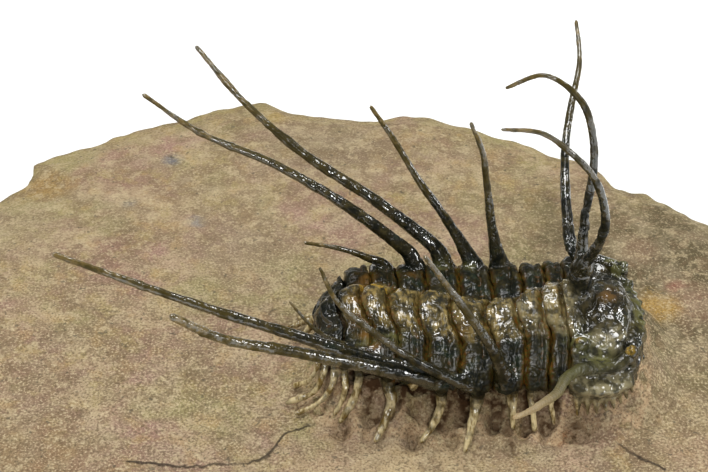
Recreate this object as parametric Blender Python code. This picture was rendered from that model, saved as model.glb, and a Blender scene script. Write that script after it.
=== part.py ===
"""A fossil Ceratonurus, a spiny trilobite of the Devonian, prepared in the round on its block of limestone.

The animal's hard back is a head shield, eight thoracic segments and a short tail shield. It sits on a core of
matrix that stands up from the block, and its long spines are free in the air. Lengths are in millimetres
and become metres where a mesh is made. The head points to +X, the animal's left is +Y, up is +Z, and the
origin is under the middle of the block's flat underside. Points on the animal are given from a datum on the
bedding face (ahead, to its left, up), which DATUM places in that frame.
"""

import math
from collections import namedtuple

import bmesh
import bpy
import numpy as np

MM = 0.001
GAP = 0.3
SHARP_ANGLE = math.radians(50)

# Block of limestone
BLOCK_LENGTH = 122.0
BLOCK_WIDTH = 106.0
BLOCK_HEIGHT = 22.0
DATUM = np.array([0.0, -8.0, BLOCK_HEIGHT])

# Middle of the animal's foot on the bedding face, and the corners of the block's broken outline, anticlockwise
# from the right, on a block 2 by 2
FOOT = np.array([16.0, 0.0, 0.0])
BLOCK_CORNERS = (
    (1.00, 0.06), (0.92, 0.34), (0.77, 0.52), (0.68, 0.61), (0.62, 0.63), (0.57, 0.70), (0.39, 0.83), (0.18, 0.93),
    (0.10, 0.94), (0.05, 0.91), (-0.03, 0.92), (-0.17, 0.96), (-0.22, 1.00), (-0.45, 0.91), (-0.66, 0.79),
    (-0.75, 0.72), (-0.77, 0.64), (-0.91, 0.46), (-1.00, 0.04), (-0.95, -0.40), (-0.78, -0.76), (-0.45, -0.96),
    (-0.10, -0.98), (0.34, -1.00), (0.72, -0.84), (0.93, -0.46),
)
BLOCK_SIDES = 56

# Steps out from the foot to the rim and down the side: share of the way out, height
BLOCK_STEPS = (
    (0.16, 21.9), (0.36, 22.0), (0.60, 21.8), (0.80, 21.3), (0.93, 20.4), (0.98, 19.3), (1.0, 17.0),
    (1.0, 6.0), (0.975, 0.0),
)

# The trunk of the animal along its length: one row for each place where its section is known
Section = namedtuple("Section", "ahead middle width edge crest axis ring lean")
SECTIONS = (
    Section(-4.9, 1.0, 2.4, 6.3, 7.1, 1.1, 7.6, 0.3),
    Section(-3.9, 0.9, 4.4, 6.5, 8.1, 1.9, 9.6, 0.6),
    Section(-2.5, 0.9, 6.2, 6.6, 8.8, 2.6, 10.8, 0.9),
    Section(-1.1, 1.1, 8.0, 6.7, 9.2, 3.1, 11.2, 1.2),
    Section(0.7, 1.4, 9.0, 6.7, 9.4, 3.5, 11.5, 1.4),
    Section(4.1, 0.9, 9.9, 6.6, 9.4, 3.9, 11.6, 1.4),
    Section(7.6, 0.4, 10.6, 6.4, 9.4, 4.3, 11.6, 1.4),
    Section(11.6, 0.1, 11.0, 6.3, 9.3, 4.7, 11.5, 1.4),
    Section(15.9, -0.1, 11.3, 6.2, 9.1, 4.7, 11.3, 1.4),
    Section(21.9, 0.0, 11.2, 6.3, 9.4, 4.6, 11.9, 1.4),
    Section(27.4, 0.1, 11.1, 6.2, 10.2, 4.5, 13.2, 1.2),
)
SEGMENT_ENDS = (27.4, 25.0, 21.9, 18.0, 13.8, 9.5, 5.8, 2.4, -1.1)

# Form of a section: how square the shoulders are, how full the ring's vault is, how thick the shell is, and
# how far the ends of the ribs lie behind their inner parts
SHOULDER_POWER = 3.2
VAULT_POWER = 0.65
SHELL = 1.5
SWEEP = 0.6

# Thickness of the rim of the head and tail shields, which are solid
RIM = 0.4

# Height lost along one segment, from its front edge to its rear edge: share of its length, depth
SEGMENT_RELIEF = ((0.0, 0.7), (0.3, 0.15), (0.75, 0.0), (1.0, 0.5))

# Head shield
HEAD_SECTIONS = (
    Section(27.55, 0.1, 11.5, 5.6, 9.9, 4.6, 13.8, 1.1),
    Section(28.6, 0.1, 11.9, 5.4, 9.8, 4.6, 13.4, 1.0),
    Section(29.6, 0.1, 12.1, 5.2, 9.6, 4.8, 11.4, 0.6),
    Section(31.3, 0.1, 12.1, 5.0, 9.7, 5.4, 12.2, 0.3),
    Section(33.1, 0.1, 11.1, 4.8, 9.6, 5.4, 12.4, 0.0),
    Section(34.8, 0.1, 9.2, 4.6, 9.2, 4.9, 11.4, 0.0),
    Section(36.2, 0.1, 6.8, 4.5, 8.4, 3.9, 9.2, 0.0),
    Section(37.1, 0.1, 4.1, 4.5, 7.2, 2.4, 7.5, 0.0),
    Section(37.5, 0.1, 1.8, 4.6, 6.0, 1.0, 6.2, 0.0),
)

# Tail shield: the places of its sections behind the front edge
TAIL_PLACES = (-2.5, -3.9, -4.9)

# Rock core under the head and under the tail: half width at each place. Then the outline of its top, as a
# share of that width and a height, and how deep every core is rooted.
HEAD_CORE = ((26.6, 8.6), (29.0, 9.4), (31.5, 9.4), (34.0, 7.4), (35.8, 4.2))
TAIL_CORE = ((-4.0, 2.2), (-2.5, 4.2), (-0.4, 5.6))
CORE_TOP = ((-1.0, -1.0), (-0.85, 0.0), (0.85, 0.0), (1.0, -1.0))
CORE_ROOT = 3.0

# Places across a section, as shares of the axis and then of the flank beyond it
AXIS_SHARES = (0.4, 0.75, 0.95, 1.0)
FLANK_SHARES = (0.2, 0.45, 0.7, 0.87, 0.96, 1.0)
CORE_AXIS_SHARES = (0.55, 1.0)
CORE_FLANK_SHARES = (0.2, 0.6, 0.92, 1.0)

# Spines, each by a route from its root to its tip and by its radius at both ends. Rings stand closer near the
# root, where a spine flares, and the root itself is pinched, so that it stays inside the shell.
Spine = namedtuple("Spine", "root_radius tip_radius route")
RING_CROWDING = 1.4
FLARE_RINGS = 1.2
ROOT_PINCH = 0.6

# The route of an eye's stalk is given from the middle of the bead that it carries
EYE_PLACE = (34.9, 8.3, 10.6)
EYE_RADIUS = 0.75
EYE_STALK = Spine(0.9, 0.6, ((-0.4, 0.0, -2.6), (-0.2, 0.0, -1.3), (0.0, 0.0, 0.2)))
GENAL_SPINES = (
    Spine(0.95, 0.30, ((34.2, 8.6, 9.4), (33.0, 10.2, 9.1), (31.0, 11.0, 9.2), (28.8, 11.2, 9.7), (28.1, 13.7, 11.3),
                       (27.8, 19.3, 14.3), (28.0, 24.8, 17.3), (29.0, 30.2, 20.2), (30.2, 35.6, 23.2),
                       (29.9, 41.0, 26.2))),
    Spine(0.95, 0.30, ((34.2, -8.6, 9.4), (33.0, -10.2, 9.1), (31.2, -10.9, 9.2), (29.3, -11.3, 10.2),
                       (28.0, -13.6, 12.3), (25.7, -19.0, 15.9), (24.1, -24.9, 18.9), (22.0, -30.4, 22.5),
                       (19.9, -35.8, 26.2), (17.8, -41.0, 30.2))),
)
HORNS = (
    Spine(0.75, 0.28, ((28.6, 0.9, 17.6), (28.9, 2.0, 24.5), (29.5, 2.5, 30.1), (29.3, 3.1, 35.6),
                       (27.5, 3.7, 40.9), (23.1, 4.3, 44.1), (18.3, 5.0, 41.6))),
    Spine(0.75, 0.28, ((28.6, -0.7, 17.6), (30.8, -2.0, 24.3), (30.6, -2.5, 29.4), (29.0, -3.0, 34.3),
                       (26.0, -3.6, 38.5), (22.3, -4.3, 42.0), (17.3, -5.0, 43.1))),
)
TRUNK = Spine(1.65, 1.25, ((28.7, 0.2, 9.6), (28.6, 0.2, 14.6), (28.9, 0.1, 19.2)))
THORAX_SPINES = {
    3: (Spine(0.80, 0.30, ((19.2, 10.2, 7.5), (18.7, 10.6, 10.0), (17.8, 11.3, 14.8), (17.1, 12.0, 20.2),
                           (16.4, 12.7, 25.5), (14.7, 13.4, 30.1))),
        Spine(0.85, 0.33, ((19.2, -10.3, 6.9), (18.8, -10.6, 8.6), (16.9, -11.2, 13.9), (14.1, -12.0, 19.7),
                           (11.1, -12.7, 25.4), (8.3, -13.4, 30.7)))),
    4: (Spine(0.80, 0.30, ((15.9, 10.1, 7.5), (14.8, 10.9, 10.1), (11.9, 12.2, 15.1), (8.4, 13.6, 20.2),
                           (5.2, 15.1, 25.6), (2.0, 16.5, 30.3))),
        Spine(0.75, 0.25, ((15.4, -10.3, 6.8), (12.9, -10.9, 8.0), (7.6, -12.3, 12.5), (2.6, -13.8, 18.4),
                           (-1.9, -15.3, 24.7), (-4.1, -16.5, 31.5)))),
    5: (Spine(0.95, 0.30, ((11.6, 9.8, 7.2), (9.8, 11.4, 11.0), (2.3, 15.2, 16.1), (-6.5, 19.1, 20.3),
                           (-14.4, 23.1, 25.9), (-20.6, 26.8, 32.2))),
        Spine(0.90, 0.30, ((11.2, -9.9, 7.3), (8.2, -11.4, 9.1), (0.8, -15.0, 14.4), (-7.3, -19.1, 20.3),
                           (-15.3, -23.2, 26.0), (-21.3, -26.8, 32.9)))),
    6: (Spine(0.95, 0.30, ((7.5, 9.6, 7.4), (6.1, 10.4, 12.0), (-1.4, 11.6, 18.1), (-10.1, 13.0, 23.4),
                           (-19.5, 14.4, 27.4), (-26.9, 15.7, 32.8))),
        Spine(0.90, 0.30, ((7.0, -9.3, 8.0), (2.9, -10.4, 10.7), (-6.4, -11.7, 15.9), (-16.7, -13.0, 21.4),
                           (-26.7, -14.4, 27.3), (-35.8, -15.7, 32.9)))),
    7: (Spine(0.50, 0.25, ((4.4, 9.6, 8.0), (3.0, 9.4, 10.8), (-1.3, 7.6, 13.8), (-6.2, 5.5, 16.8))),
        Spine(0.45, 0.20, ((3.4, -6.4, 8.6), (-0.8, -6.4, 9.8), (-4.9, -6.2, 12.4), (-8.2, -6.0, 17.0)))),
}

# Short lower spines of the segments: where the root lies ahead of the middle of the rib, then the tip from
# the root (ahead, outwards) and the height of the tip. Every root is in from the edge and up from it.
LOWER_SPINES = {
    1: (-0.3, -0.3, 2.2, 1.4),
    2: (-0.3, -0.6, 2.4, 0.8),
    3: (0.1, -0.5, 2.6, 0.9),
    4: (0.1, -1.7, 4.4, 0.6),
    5: (0.1, -3.1, 4.2, 0.6),
    6: (0.4, -2.6, 4.0, 0.6),
    7: (1.0, -2.3, 4.6, 0.6),
    8: (0.4, -3.2, 2.0, 0.7),
}
LOWER_RADIUS = 0.55
LOWER_ROOT = (0.75, 0.8)
LOWER_BEND = (0.35, 0.75, 0.5)
BROKEN_LOWER_SPINE = (6, -1)
STUB_SHARE = 0.3

# Tail spines on each side: where the root lies along the edge, then the tip from the root (ahead, outwards)
TAIL_SPINES = ((-1.8, -1.6, 1.6), (-2.8, -4.4, 2.2), (-3.7, -5.4, 1.8), (-4.5, -5.4, 0.8))
TAIL_SPINE_RADIUS = 0.42
TAIL_ROOT = (0.9, 0.45)
TAIL_TIP_HEIGHT = 0.8

# Fringe of short spines along the edge of the head shield: values for the rearmost and the foremost, then how
# far the tips splay ahead and outwards as a share of the length
FRINGE_COUNT = 12
FRINGE_TURN = math.radians(80)
FRINGE_AHEAD = (28.7, 37.2)
FRINGE_LENGTH = (3.2, 0.9)
FRINGE_RADIUS = (0.38, 0.24)
FRINGE_ROOT = (0.7, 0.5)
FRINGE_SPLAY = (0.5, 0.4)


def material(name, colour, roughness):
    """A plain material with one colour."""
    made = bpy.data.materials.new(name)
    made.use_nodes = True
    shader = made.node_tree.nodes["Principled BSDF"]
    shader.inputs["Base Color"].default_value = (*colour, 1.0)
    shader.inputs["Roughness"].default_value = roughness
    shader.inputs["Metallic"].default_value = 0.0
    return made


def loft(mesh, rings, upright=False):
    """Skin a row of closed rings of points, given from the datum, and close both ends.

    An upright end is made of strips between each point of the upper half and the one below it, so that two
    solids whose ends bend alike keep an even gap.
    """
    made = [[mesh.verts.new((np.asarray(point) + DATUM) * MM) for point in ring] for ring in rings]
    count = len(made[0])
    for ring, following in zip(made, made[1:]):
        for k in range(count):
            beside = (k + 1) % count
            mesh.faces.new((ring[k], ring[beside], following[beside], following[k]))
    for ring in (made[0], made[-1]):
        if not upright:
            mesh.faces.new(ring)
            continue
        for k in range(count // 2 - 1):
            mesh.faces.new((ring[k], ring[k + 1], ring[count - 2 - k], ring[count - 1 - k]))


def finish(mesh, name, paint=None):
    """Turn the faces outwards, shade them smooth but for sharp corners, and make the object."""
    bmesh.ops.recalc_face_normals(mesh, faces=mesh.faces)
    data = bpy.data.meshes.new(name)
    mesh.to_mesh(data)
    mesh.free()
    data.shade_smooth()
    data.set_sharp_from_angle(angle=SHARP_ANGLE)
    made = bpy.data.objects.new(name, data)
    bpy.context.collection.objects.link(made)
    if paint:
        data.materials.append(paint)
    return made


def fuse(target, grown):
    """Grow hidden solids onto the target, so that they are one body."""
    for solid in grown:
        solid.hide_render = True
        solid.display_type = "WIRE"
        union = target.modifiers.new(solid.name, "BOOLEAN")
        union.operation = "UNION"
        union.solver = "EXACT"
        union.object = solid


def smooth_route(points, shares):
    """Points at the given shares of the length of a smooth curve through the route's points."""
    knots = np.array([2 * np.array(points[0]) - points[1], *points, 2 * np.array(points[-1]) - points[-2]])
    curve = []
    for a, b, c, d in zip(knots, knots[1:], knots[2:], knots[3:]):
        for t in np.linspace(0.0, 1.0, 24, endpoint=False):
            curve.append(0.5 * (2 * b + (c - a) * t + (2 * a - 5 * b + 4 * c - d) * t**2
                                + (3 * b - a - 3 * c + d) * t**3))
    curve = np.array([*curve, knots[-2]])
    along = np.concatenate(([0.0], np.cumsum(np.linalg.norm(np.diff(curve, axis=0), axis=1))))
    wanted = along[-1] * np.asarray(shares)
    return np.column_stack([np.interp(wanted, along, curve[:, k]) for k in range(3)])


def spine_rings(route, radii, sides):
    """Rings square to a route, carried along it without twist."""
    heading = np.gradient(route, axis=0)
    heading /= np.linalg.norm(heading, axis=1)[:, None]
    side = np.cross(heading[0], (1.0, 0.0, 0.2))
    angles = np.linspace(0.0, 2.0 * math.pi, sides, endpoint=False)
    rings = []
    for place, ahead, radius in zip(route, heading, radii):
        side = side - ahead * side.dot(ahead)
        side /= np.linalg.norm(side)
        other = np.cross(ahead, side)
        rings.append([place + radius * (math.cos(t) * side + math.sin(t) * other) for t in angles])
    return rings


def add_spine(mesh, spine, count=10, sides=7, flare=0.5):
    """Skin one spine that widens towards its root and tapers to its tip."""
    share = np.linspace(0.0, 1.0, count) ** RING_CROWDING
    route = smooth_route(spine.route, share)
    radii = spine.root_radius + (spine.tip_radius - spine.root_radius) * share
    radii *= 1.0 + flare * np.exp(-share * count / FLARE_RINGS)
    radii[0] *= ROOT_PINCH
    loft(mesh, spine_rings(route, radii, sides))


def section_at(rows, ahead):
    """The section at a place, worked out between the rows on either side of it."""
    table = np.array(rows)
    return Section(*(np.interp(ahead, table[:, 0], table[:, k]) for k in range(len(Section._fields))))


def places_across(section, inset, axis_shares, flank_shares):
    """Distances from the middle line to the right and to the left, from one edge to the other."""
    axis = section.axis - 0.5 * inset
    width = section.width - inset
    half = [axis * share for share in axis_shares] + [axis + (width - axis) * share for share in flank_shares]
    return np.array([-place for place in reversed(half)] + [0.0] + half)


def bulge(share, inner_power, outer_power):
    """(1 - |share|^inner)^outer: one at the middle and nothing at the edge."""
    return np.clip(1.0 - np.abs(share) ** inner_power, 0.0, 1.0) ** outer_power


def arch(section, inset, axis_shares, flank_shares):
    """Points over the back at one section, set in below the outer surface by an even depth.

    The flank is a superellipse from the edge up to the crest, and the axis adds a vaulted ring that leans back.
    """
    across = places_across(section, inset, axis_shares, flank_shares)
    flank = bulge(across / (section.width - inset), SHOULDER_POWER, 1 / SHOULDER_POWER)
    vault = bulge(across / (section.axis - 0.5 * inset), 2.0, VAULT_POWER)
    height = section.edge + (section.crest - inset - section.edge) * flank + (section.ring - section.crest) * vault
    tilt = bulge(across / section.axis, 2.0, VAULT_POWER)
    ahead = section.ahead - section.lean * tilt - SWEEP * (across / section.width) ** 2
    return np.column_stack([ahead, section.middle + across, height])


def filled(top, base):
    """A closed ring: the points over the back, and those straight below them at the height of the base."""
    below = top.copy()
    below[:, 2] = base
    return [*top, *below[::-1]]


def edge_root(section, side, place):
    """Where a spine is rooted in the edge of a section, at a place in from the edge and up from it."""
    inwards, up = place
    return np.array([section.ahead - SWEEP, section.middle + side * (section.width - inwards), section.edge + up])


def add_lower_spine(mesh, root, tip, radius):
    """Skin a short spine that leaves the edge downwards and curls to its tip."""
    bend = root + (tip - root) * LOWER_BEND
    add_spine(mesh, Spine(radius, 0.45 * radius, (root, bend, tip)), count=5, sides=6, flare=0.2)


def thoracic_segment(number, paint):
    """One segment: a vaulted ring, a flat rib on each side, and the spines that grow from the ribs."""
    front, rear = SEGMENT_ENDS[number - 1] - GAP / 2, SEGMENT_ENDS[number] + GAP / 2
    rings = []
    for share, depth in SEGMENT_RELIEF:
        section = section_at(SECTIONS, front + (rear - front) * share)
        outer = arch(section, depth, AXIS_SHARES, FLANK_SHARES)
        inner = arch(section, SHELL, CORE_AXIS_SHARES, CORE_FLANK_SHARES)
        rings.append([*outer, *inner[::-1]])
    shell = bmesh.new()
    loft(shell, rings)
    node = finish(shell, f"thoracic_segment_{number}", paint)

    upper, lower = bmesh.new(), bmesh.new()
    for spine in THORAX_SPINES.get(number, ()):
        add_spine(upper, spine)
    section = section_at(SECTIONS, (front + rear) / 2)
    shift, ahead, out, height = LOWER_SPINES[number]
    for side in (-1, 1):
        root = edge_root(section, side, LOWER_ROOT) + (shift, 0.0, 0.0)
        reach = np.array([ahead, side * out, height - root[2]])
        if (number, side) == BROKEN_LOWER_SPINE:
            reach *= STUB_SHARE
        add_lower_spine(lower, root, root + reach, LOWER_RADIUS)
    fuse(node, [finish(upper, f"upper_spines_{number}"), finish(lower, f"lower_spines_{number}")])


def add_fringe(mesh, side):
    """Skin the fringe on one side: spines that shorten from the corner of the cheek to the front."""
    for k in range(FRINGE_COUNT):
        share = math.sin(FRINGE_TURN * k / (FRINGE_COUNT - 1))
        ahead, length, radius = (np.interp(share, (0, 1), ends)
                                 for ends in (FRINGE_AHEAD, FRINGE_LENGTH, FRINGE_RADIUS))
        root = edge_root(section_at(HEAD_SECTIONS, ahead), side, FRINGE_ROOT)
        splay_ahead, splay_out = FRINGE_SPLAY
        tip = root + (splay_ahead * share * length, side * splay_out * length, -length - FRINGE_ROOT[1])
        add_spine(mesh, Spine(radius, 0.4 * radius, (root, (root + tip) / 2, tip)), count=3, sides=5, flare=0.1)


def head_shield(paint):
    """The cephalon: glabella and cheeks in one vault, with eyes, horns, genal spines and the fringe."""
    rings = [filled(arch(row, 0.0, AXIS_SHARES, FLANK_SHARES), row.edge - RIM) for row in HEAD_SECTIONS]
    dome = bmesh.new()
    loft(dome, rings, upright=True)
    node = finish(dome, "cephalon", paint)

    grown, cheeks, horns, eyes = bmesh.new(), bmesh.new(), bmesh.new(), bmesh.new()
    add_spine(grown, TRUNK, count=5, sides=10, flare=0.25)
    for spine in GENAL_SPINES:
        add_spine(cheeks, spine, count=15, flare=0.0)
    for spine in HORNS:
        add_spine(horns, spine, count=13, flare=0.25)
    for side in (-1, 1):
        add_fringe(grown, side)
        bead = np.array(EYE_PLACE) * (1, side, 1)
        add_spine(grown, EYE_STALK._replace(route=bead + EYE_STALK.route), count=4, sides=8, flare=0.3)
        made = bmesh.ops.create_icosphere(eyes, subdivisions=2, radius=EYE_RADIUS * MM)
        bmesh.ops.translate(eyes, verts=made["verts"], vec=(bead + DATUM) * MM)
    fuse(node, [finish(grown, "head_spines"), finish(cheeks, "genal_spines"), finish(horns, "horns"),
                finish(eyes, "eye_beads")])


def tail_shield(paint):
    """The pygidium: a short plate with an axis and a row of spines round its edge."""
    rings = []
    for ahead in (SEGMENT_ENDS[-1] - GAP / 2, *TAIL_PLACES):
        section = section_at(SECTIONS, ahead)
        rings.append(filled(arch(section, 0.0, AXIS_SHARES, FLANK_SHARES), section.edge - RIM))
    plate = bmesh.new()
    loft(plate, rings, upright=True)
    node = finish(plate, "pygidium", paint)
    grown = bmesh.new()
    for side in (-1, 1):
        for place, ahead, out in TAIL_SPINES:
            root = edge_root(section_at(SECTIONS, place), side, TAIL_ROOT) + (0.5 * SWEEP, 0.0, 0.0)
            tip = np.array([root[0] + ahead, root[1] + side * out, TAIL_TIP_HEIGHT])
            add_lower_spine(grown, root, tip, TAIL_SPINE_RADIUS)
    fuse(node, [finish(grown, "tail_spines")])


def arched_core():
    """The rock under the thorax: the arch below the shell, closed by a base under the bedding face."""
    rings = []
    for ahead in (SEGMENT_ENDS[0] - GAP / 2, *SEGMENT_ENDS[1:-1], SEGMENT_ENDS[-1] + GAP / 2):
        section = section_at(SECTIONS, ahead)
        rings.append(filled(arch(section, SHELL + GAP, CORE_AXIS_SHARES, CORE_FLANK_SHARES), -CORE_ROOT))
    return rings


def flat_core(rows):
    """The rock under a shield, with a flat top just below the shield's underside."""
    rings = []
    for ahead, half_width in rows:
        section = section_at((*SECTIONS[:-1], *HEAD_SECTIONS), ahead)
        top = section.edge - RIM - GAP
        over = [(ahead, section.middle + half_width * share, top + height) for share, height in CORE_TOP]
        rings.append(filled(np.array(over), -CORE_ROOT))
    return rings


def matrix_block(paint):
    """The block of limestone, with the core that it left under the animal."""
    centre = (FOOT + DATUM)[:2]
    corners = np.array(BLOCK_CORNERS) * (BLOCK_LENGTH / 2, BLOCK_WIDTH / 2)
    away = corners - centre
    bearing = np.unwrap(np.arctan2(away[:, 1], away[:, 0]))
    angles = bearing[0] + np.linspace(0.0, 2.0 * math.pi, BLOCK_SIDES, endpoint=False)
    reach_x = np.interp(angles, [*bearing, bearing[0] + 2 * math.pi], [*corners[:, 0], corners[0, 0]])
    reach_y = np.interp(angles, [*bearing, bearing[0] + 2 * math.pi], [*corners[:, 1], corners[0, 1]])
    outline = np.column_stack([reach_x, reach_y])
    low, high = outline.min(axis=0), outline.max(axis=0)
    outline = ((outline - low) / (high - low) - 0.5) * (BLOCK_LENGTH, BLOCK_WIDTH)
    block = bmesh.new()
    rings = []
    for share, height in BLOCK_STEPS:
        flat = centre + (outline - centre) * share
        rings.append(np.column_stack([flat, np.full(BLOCK_SIDES, height)]) - DATUM)
    loft(block, rings)
    node = finish(block, "matrix_slab", paint)

    cores = {"thorax_core": arched_core(), "head_core": flat_core(HEAD_CORE), "tail_core": flat_core(TAIL_CORE)}
    for name, rings in cores.items():
        core = bmesh.new()
        loft(core, rings, upright=True)
        fuse(node, [finish(core, name)])


def main():
    for old in list(bpy.data.objects):
        bpy.data.objects.remove(old, do_unlink=True)
    stone = material("limestone", (0.30, 0.22, 0.16), 0.85)
    shell = material("dark_calcite", (0.022, 0.022, 0.014), 0.3)
    matrix_block(stone)
    head_shield(shell)
    for number in range(1, len(SEGMENT_ENDS)):
        thoracic_segment(number, shell)
    tail_shield(shell)


main()
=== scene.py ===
# %% [markdown]
# # A spiny trilobite on its block of limestone
# This lesson dresses the plain solids of a fossil Ceratonurus: a head shield, eight thoracic segments and a
# tail shield of dark calcite, prepared free of the rock and coated so that they gleam, on a block of mottled
# limestone. The solids are the fixed frame. Each of them is replaced by a finer skin of the same size in the
# same place, and nothing is moved.

import math
from collections import namedtuple

import bpy
import numpy as np
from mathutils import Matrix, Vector


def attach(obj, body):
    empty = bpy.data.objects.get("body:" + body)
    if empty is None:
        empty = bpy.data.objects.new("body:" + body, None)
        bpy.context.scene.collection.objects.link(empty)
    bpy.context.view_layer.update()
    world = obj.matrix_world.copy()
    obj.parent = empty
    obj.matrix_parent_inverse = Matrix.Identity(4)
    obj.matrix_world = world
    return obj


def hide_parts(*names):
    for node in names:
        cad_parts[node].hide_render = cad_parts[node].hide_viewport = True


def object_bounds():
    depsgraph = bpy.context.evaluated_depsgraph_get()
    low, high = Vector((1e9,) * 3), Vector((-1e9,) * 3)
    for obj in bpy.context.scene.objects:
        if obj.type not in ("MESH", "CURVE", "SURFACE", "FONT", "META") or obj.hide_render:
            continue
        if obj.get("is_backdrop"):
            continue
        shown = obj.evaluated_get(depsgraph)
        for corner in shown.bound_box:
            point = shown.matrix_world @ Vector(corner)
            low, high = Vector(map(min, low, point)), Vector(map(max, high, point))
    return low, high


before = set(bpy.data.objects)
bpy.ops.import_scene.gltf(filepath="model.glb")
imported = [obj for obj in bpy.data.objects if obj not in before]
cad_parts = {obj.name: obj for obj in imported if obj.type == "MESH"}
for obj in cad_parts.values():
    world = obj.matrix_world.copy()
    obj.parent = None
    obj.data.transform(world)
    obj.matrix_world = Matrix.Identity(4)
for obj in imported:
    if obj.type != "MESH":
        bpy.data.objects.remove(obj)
cad_box = [list(corner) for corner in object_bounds()]
rounded = [[round(1000 * value, 1) for value in corner] for corner in cad_box]
print("frame:", len(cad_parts), "nodes, box", rounded, "mm")

# %% [markdown]
# ## Units and the datum
# Lengths are in millimetres until a mesh is finished. Points on the animal are (ahead, to its left, up) from
# a datum on the bedding face, as in the source of the solids, and the same named values describe its form.

# %% Units
MM = 0.001
DATUM = np.array([0.0, -8.0, 22.0])

Section = namedtuple("Section", "ahead middle width edge crest axis ring lean shift", defaults=(0.0,))
Spine = namedtuple("Spine", "root_radius tip_radius route")
Solid = namedtuple("Solid", "points faces")

print("datum on the bedding face:", DATUM, "mm")

# %% [markdown]
# ## Noise
# Stone is never even. Smooth random values on a cubic lattice give lumps of a chosen size in millimetres, and
# a size of three numbers stretches them along the axes, which makes wrinkles.

# %% Lattice noise and a smooth step
HASH_FACTORS = np.array([73856093, 19349663, 83492791])
HASH_ROUNDS = ((15, 0x2C1B3C6D), (12, 0x297A2D39))
SEED_FACTOR = 1013904223
LAST_SHIFT = 15
WORD = 0xFFFFFFFF
HALF_WORD = 2**31
LATTICE_START = 512.0


def noise(points, size, seed=0):
    """Random values from -1 to 1, smooth over lumps of one size.

    The corners of a cubic lattice get hashed values, and a point blends the eight round it by 3t^2 - 2t^3.
    """
    scaled = points / size + LATTICE_START
    cell = np.floor(scaled).astype(np.int64)
    blend = scaled - cell
    blend = blend * blend * (3.0 - 2.0 * blend)
    total = np.zeros(len(points))
    for corner in np.ndindex(2, 2, 2):
        key = np.bitwise_xor.reduce((cell + corner) * HASH_FACTORS, axis=1) + seed * SEED_FACTOR
        for shift, factor in HASH_ROUNDS:
            key = ((key ^ (key >> shift)) * factor) & WORD
        weight = np.prod(np.where(corner, blend, 1.0 - blend), axis=1)
        total += weight * ((key ^ (key >> LAST_SHIFT)) / HALF_WORD - 1.0)
    return total


def rise(value, start, end):
    """Zero before start, one after end, and 3t^2 - 2t^3 between them."""
    t = np.clip((value - start) / (end - start), 0.0, 1.0)
    return t * t * (3.0 - 2.0 * t)


print("noise at three points:", noise(np.array([[0.0, 0, 0], [0.4, 0, 0], [3.0, 1, 2]]), 1.0).round(2))

# %% [markdown]
# ## Closed surfaces from rings
# Every form here is a stack of closed rings: cross-sections of the body, or circles carried along a spine.
# All the points are worked out as one array, and a small table of indices joins each ring to the next.

# %% Rings to solids
FINE_STEPS = 24


def loft(rings, paired=False):
    """Join a stack of rings, an array (rings, points, 3), by quads, and close both ends.

    A paired ring is an outer and an inner half of equal count, and its end is a strip between the halves.
    """
    around = rings.shape[1]
    index = np.arange(rings.shape[0] * around).reshape(-1, around)
    beside = np.roll(index, -1, axis=1)
    faces = np.stack([index[:-1], beside[:-1], beside[1:], index[1:]], axis=-1).reshape(-1, 4).tolist()
    for ring in (index[0][::-1], index[-1]):
        if paired:
            half, back = around // 2, ring[::-1]
            strip = [ring[:half - 1], ring[1:half], back[1:half], back[:half - 1]]
            faces += np.column_stack(strip).tolist()
        else:
            faces.append(ring.tolist())
    return Solid(rings.reshape(-1, 3), faces)


def through(known, values, wanted):
    """Smooth values between known ones: cubic Hermite pieces, with slopes taken from the neighbours."""
    known, values = np.asarray(known, float), np.asarray(values, float)
    slopes = np.gradient(values, known, axis=0)
    k = np.clip(np.searchsorted(known, wanted) - 1, 0, len(known) - 2)
    step = known[k + 1] - known[k]
    t = np.clip((wanted - known[k]) / step, 0.0, 1.0)
    extra = (1,) * (values.ndim - 1)
    t, step = t.reshape(-1, *extra), step.reshape(-1, *extra)
    return ((2 * t**3 - 3 * t**2 + 1) * values[k] + (t**3 - 2 * t**2 + t) * step * slopes[k]
            + (3 * t**2 - 2 * t**3) * values[k + 1] + (t**3 - t**2) * step * slopes[k + 1])


def smooth_route(points, shares):
    """Points at shares of the length of a smooth curve through a route's points."""
    points = np.asarray(points, float)
    knots = np.arange(len(points))
    fine = through(knots, points, np.linspace(0, len(points) - 1, FINE_STEPS * len(points)))
    along = np.concatenate([[0.0], np.cumsum(np.linalg.norm(np.diff(fine, axis=0), axis=1))])
    wanted = along[-1] * np.asarray(shares)
    return np.column_stack([np.interp(wanted, along, fine[:, k]) for k in range(3)])


print("two rings of four points make", len(loft(np.zeros((2, 4, 3))).faces), "faces")

# %% Circles carried along a spine
ROUTE_STEP = 0.3
SPINE_SIDES = 18
SWELL_SIZES = (2.6, 1.1)
SWELL_SHARE = 0.6
SEED_STEP = 7.0
TIP_LENGTH = 1.6
TIP_CLOSED = 0.02


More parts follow.
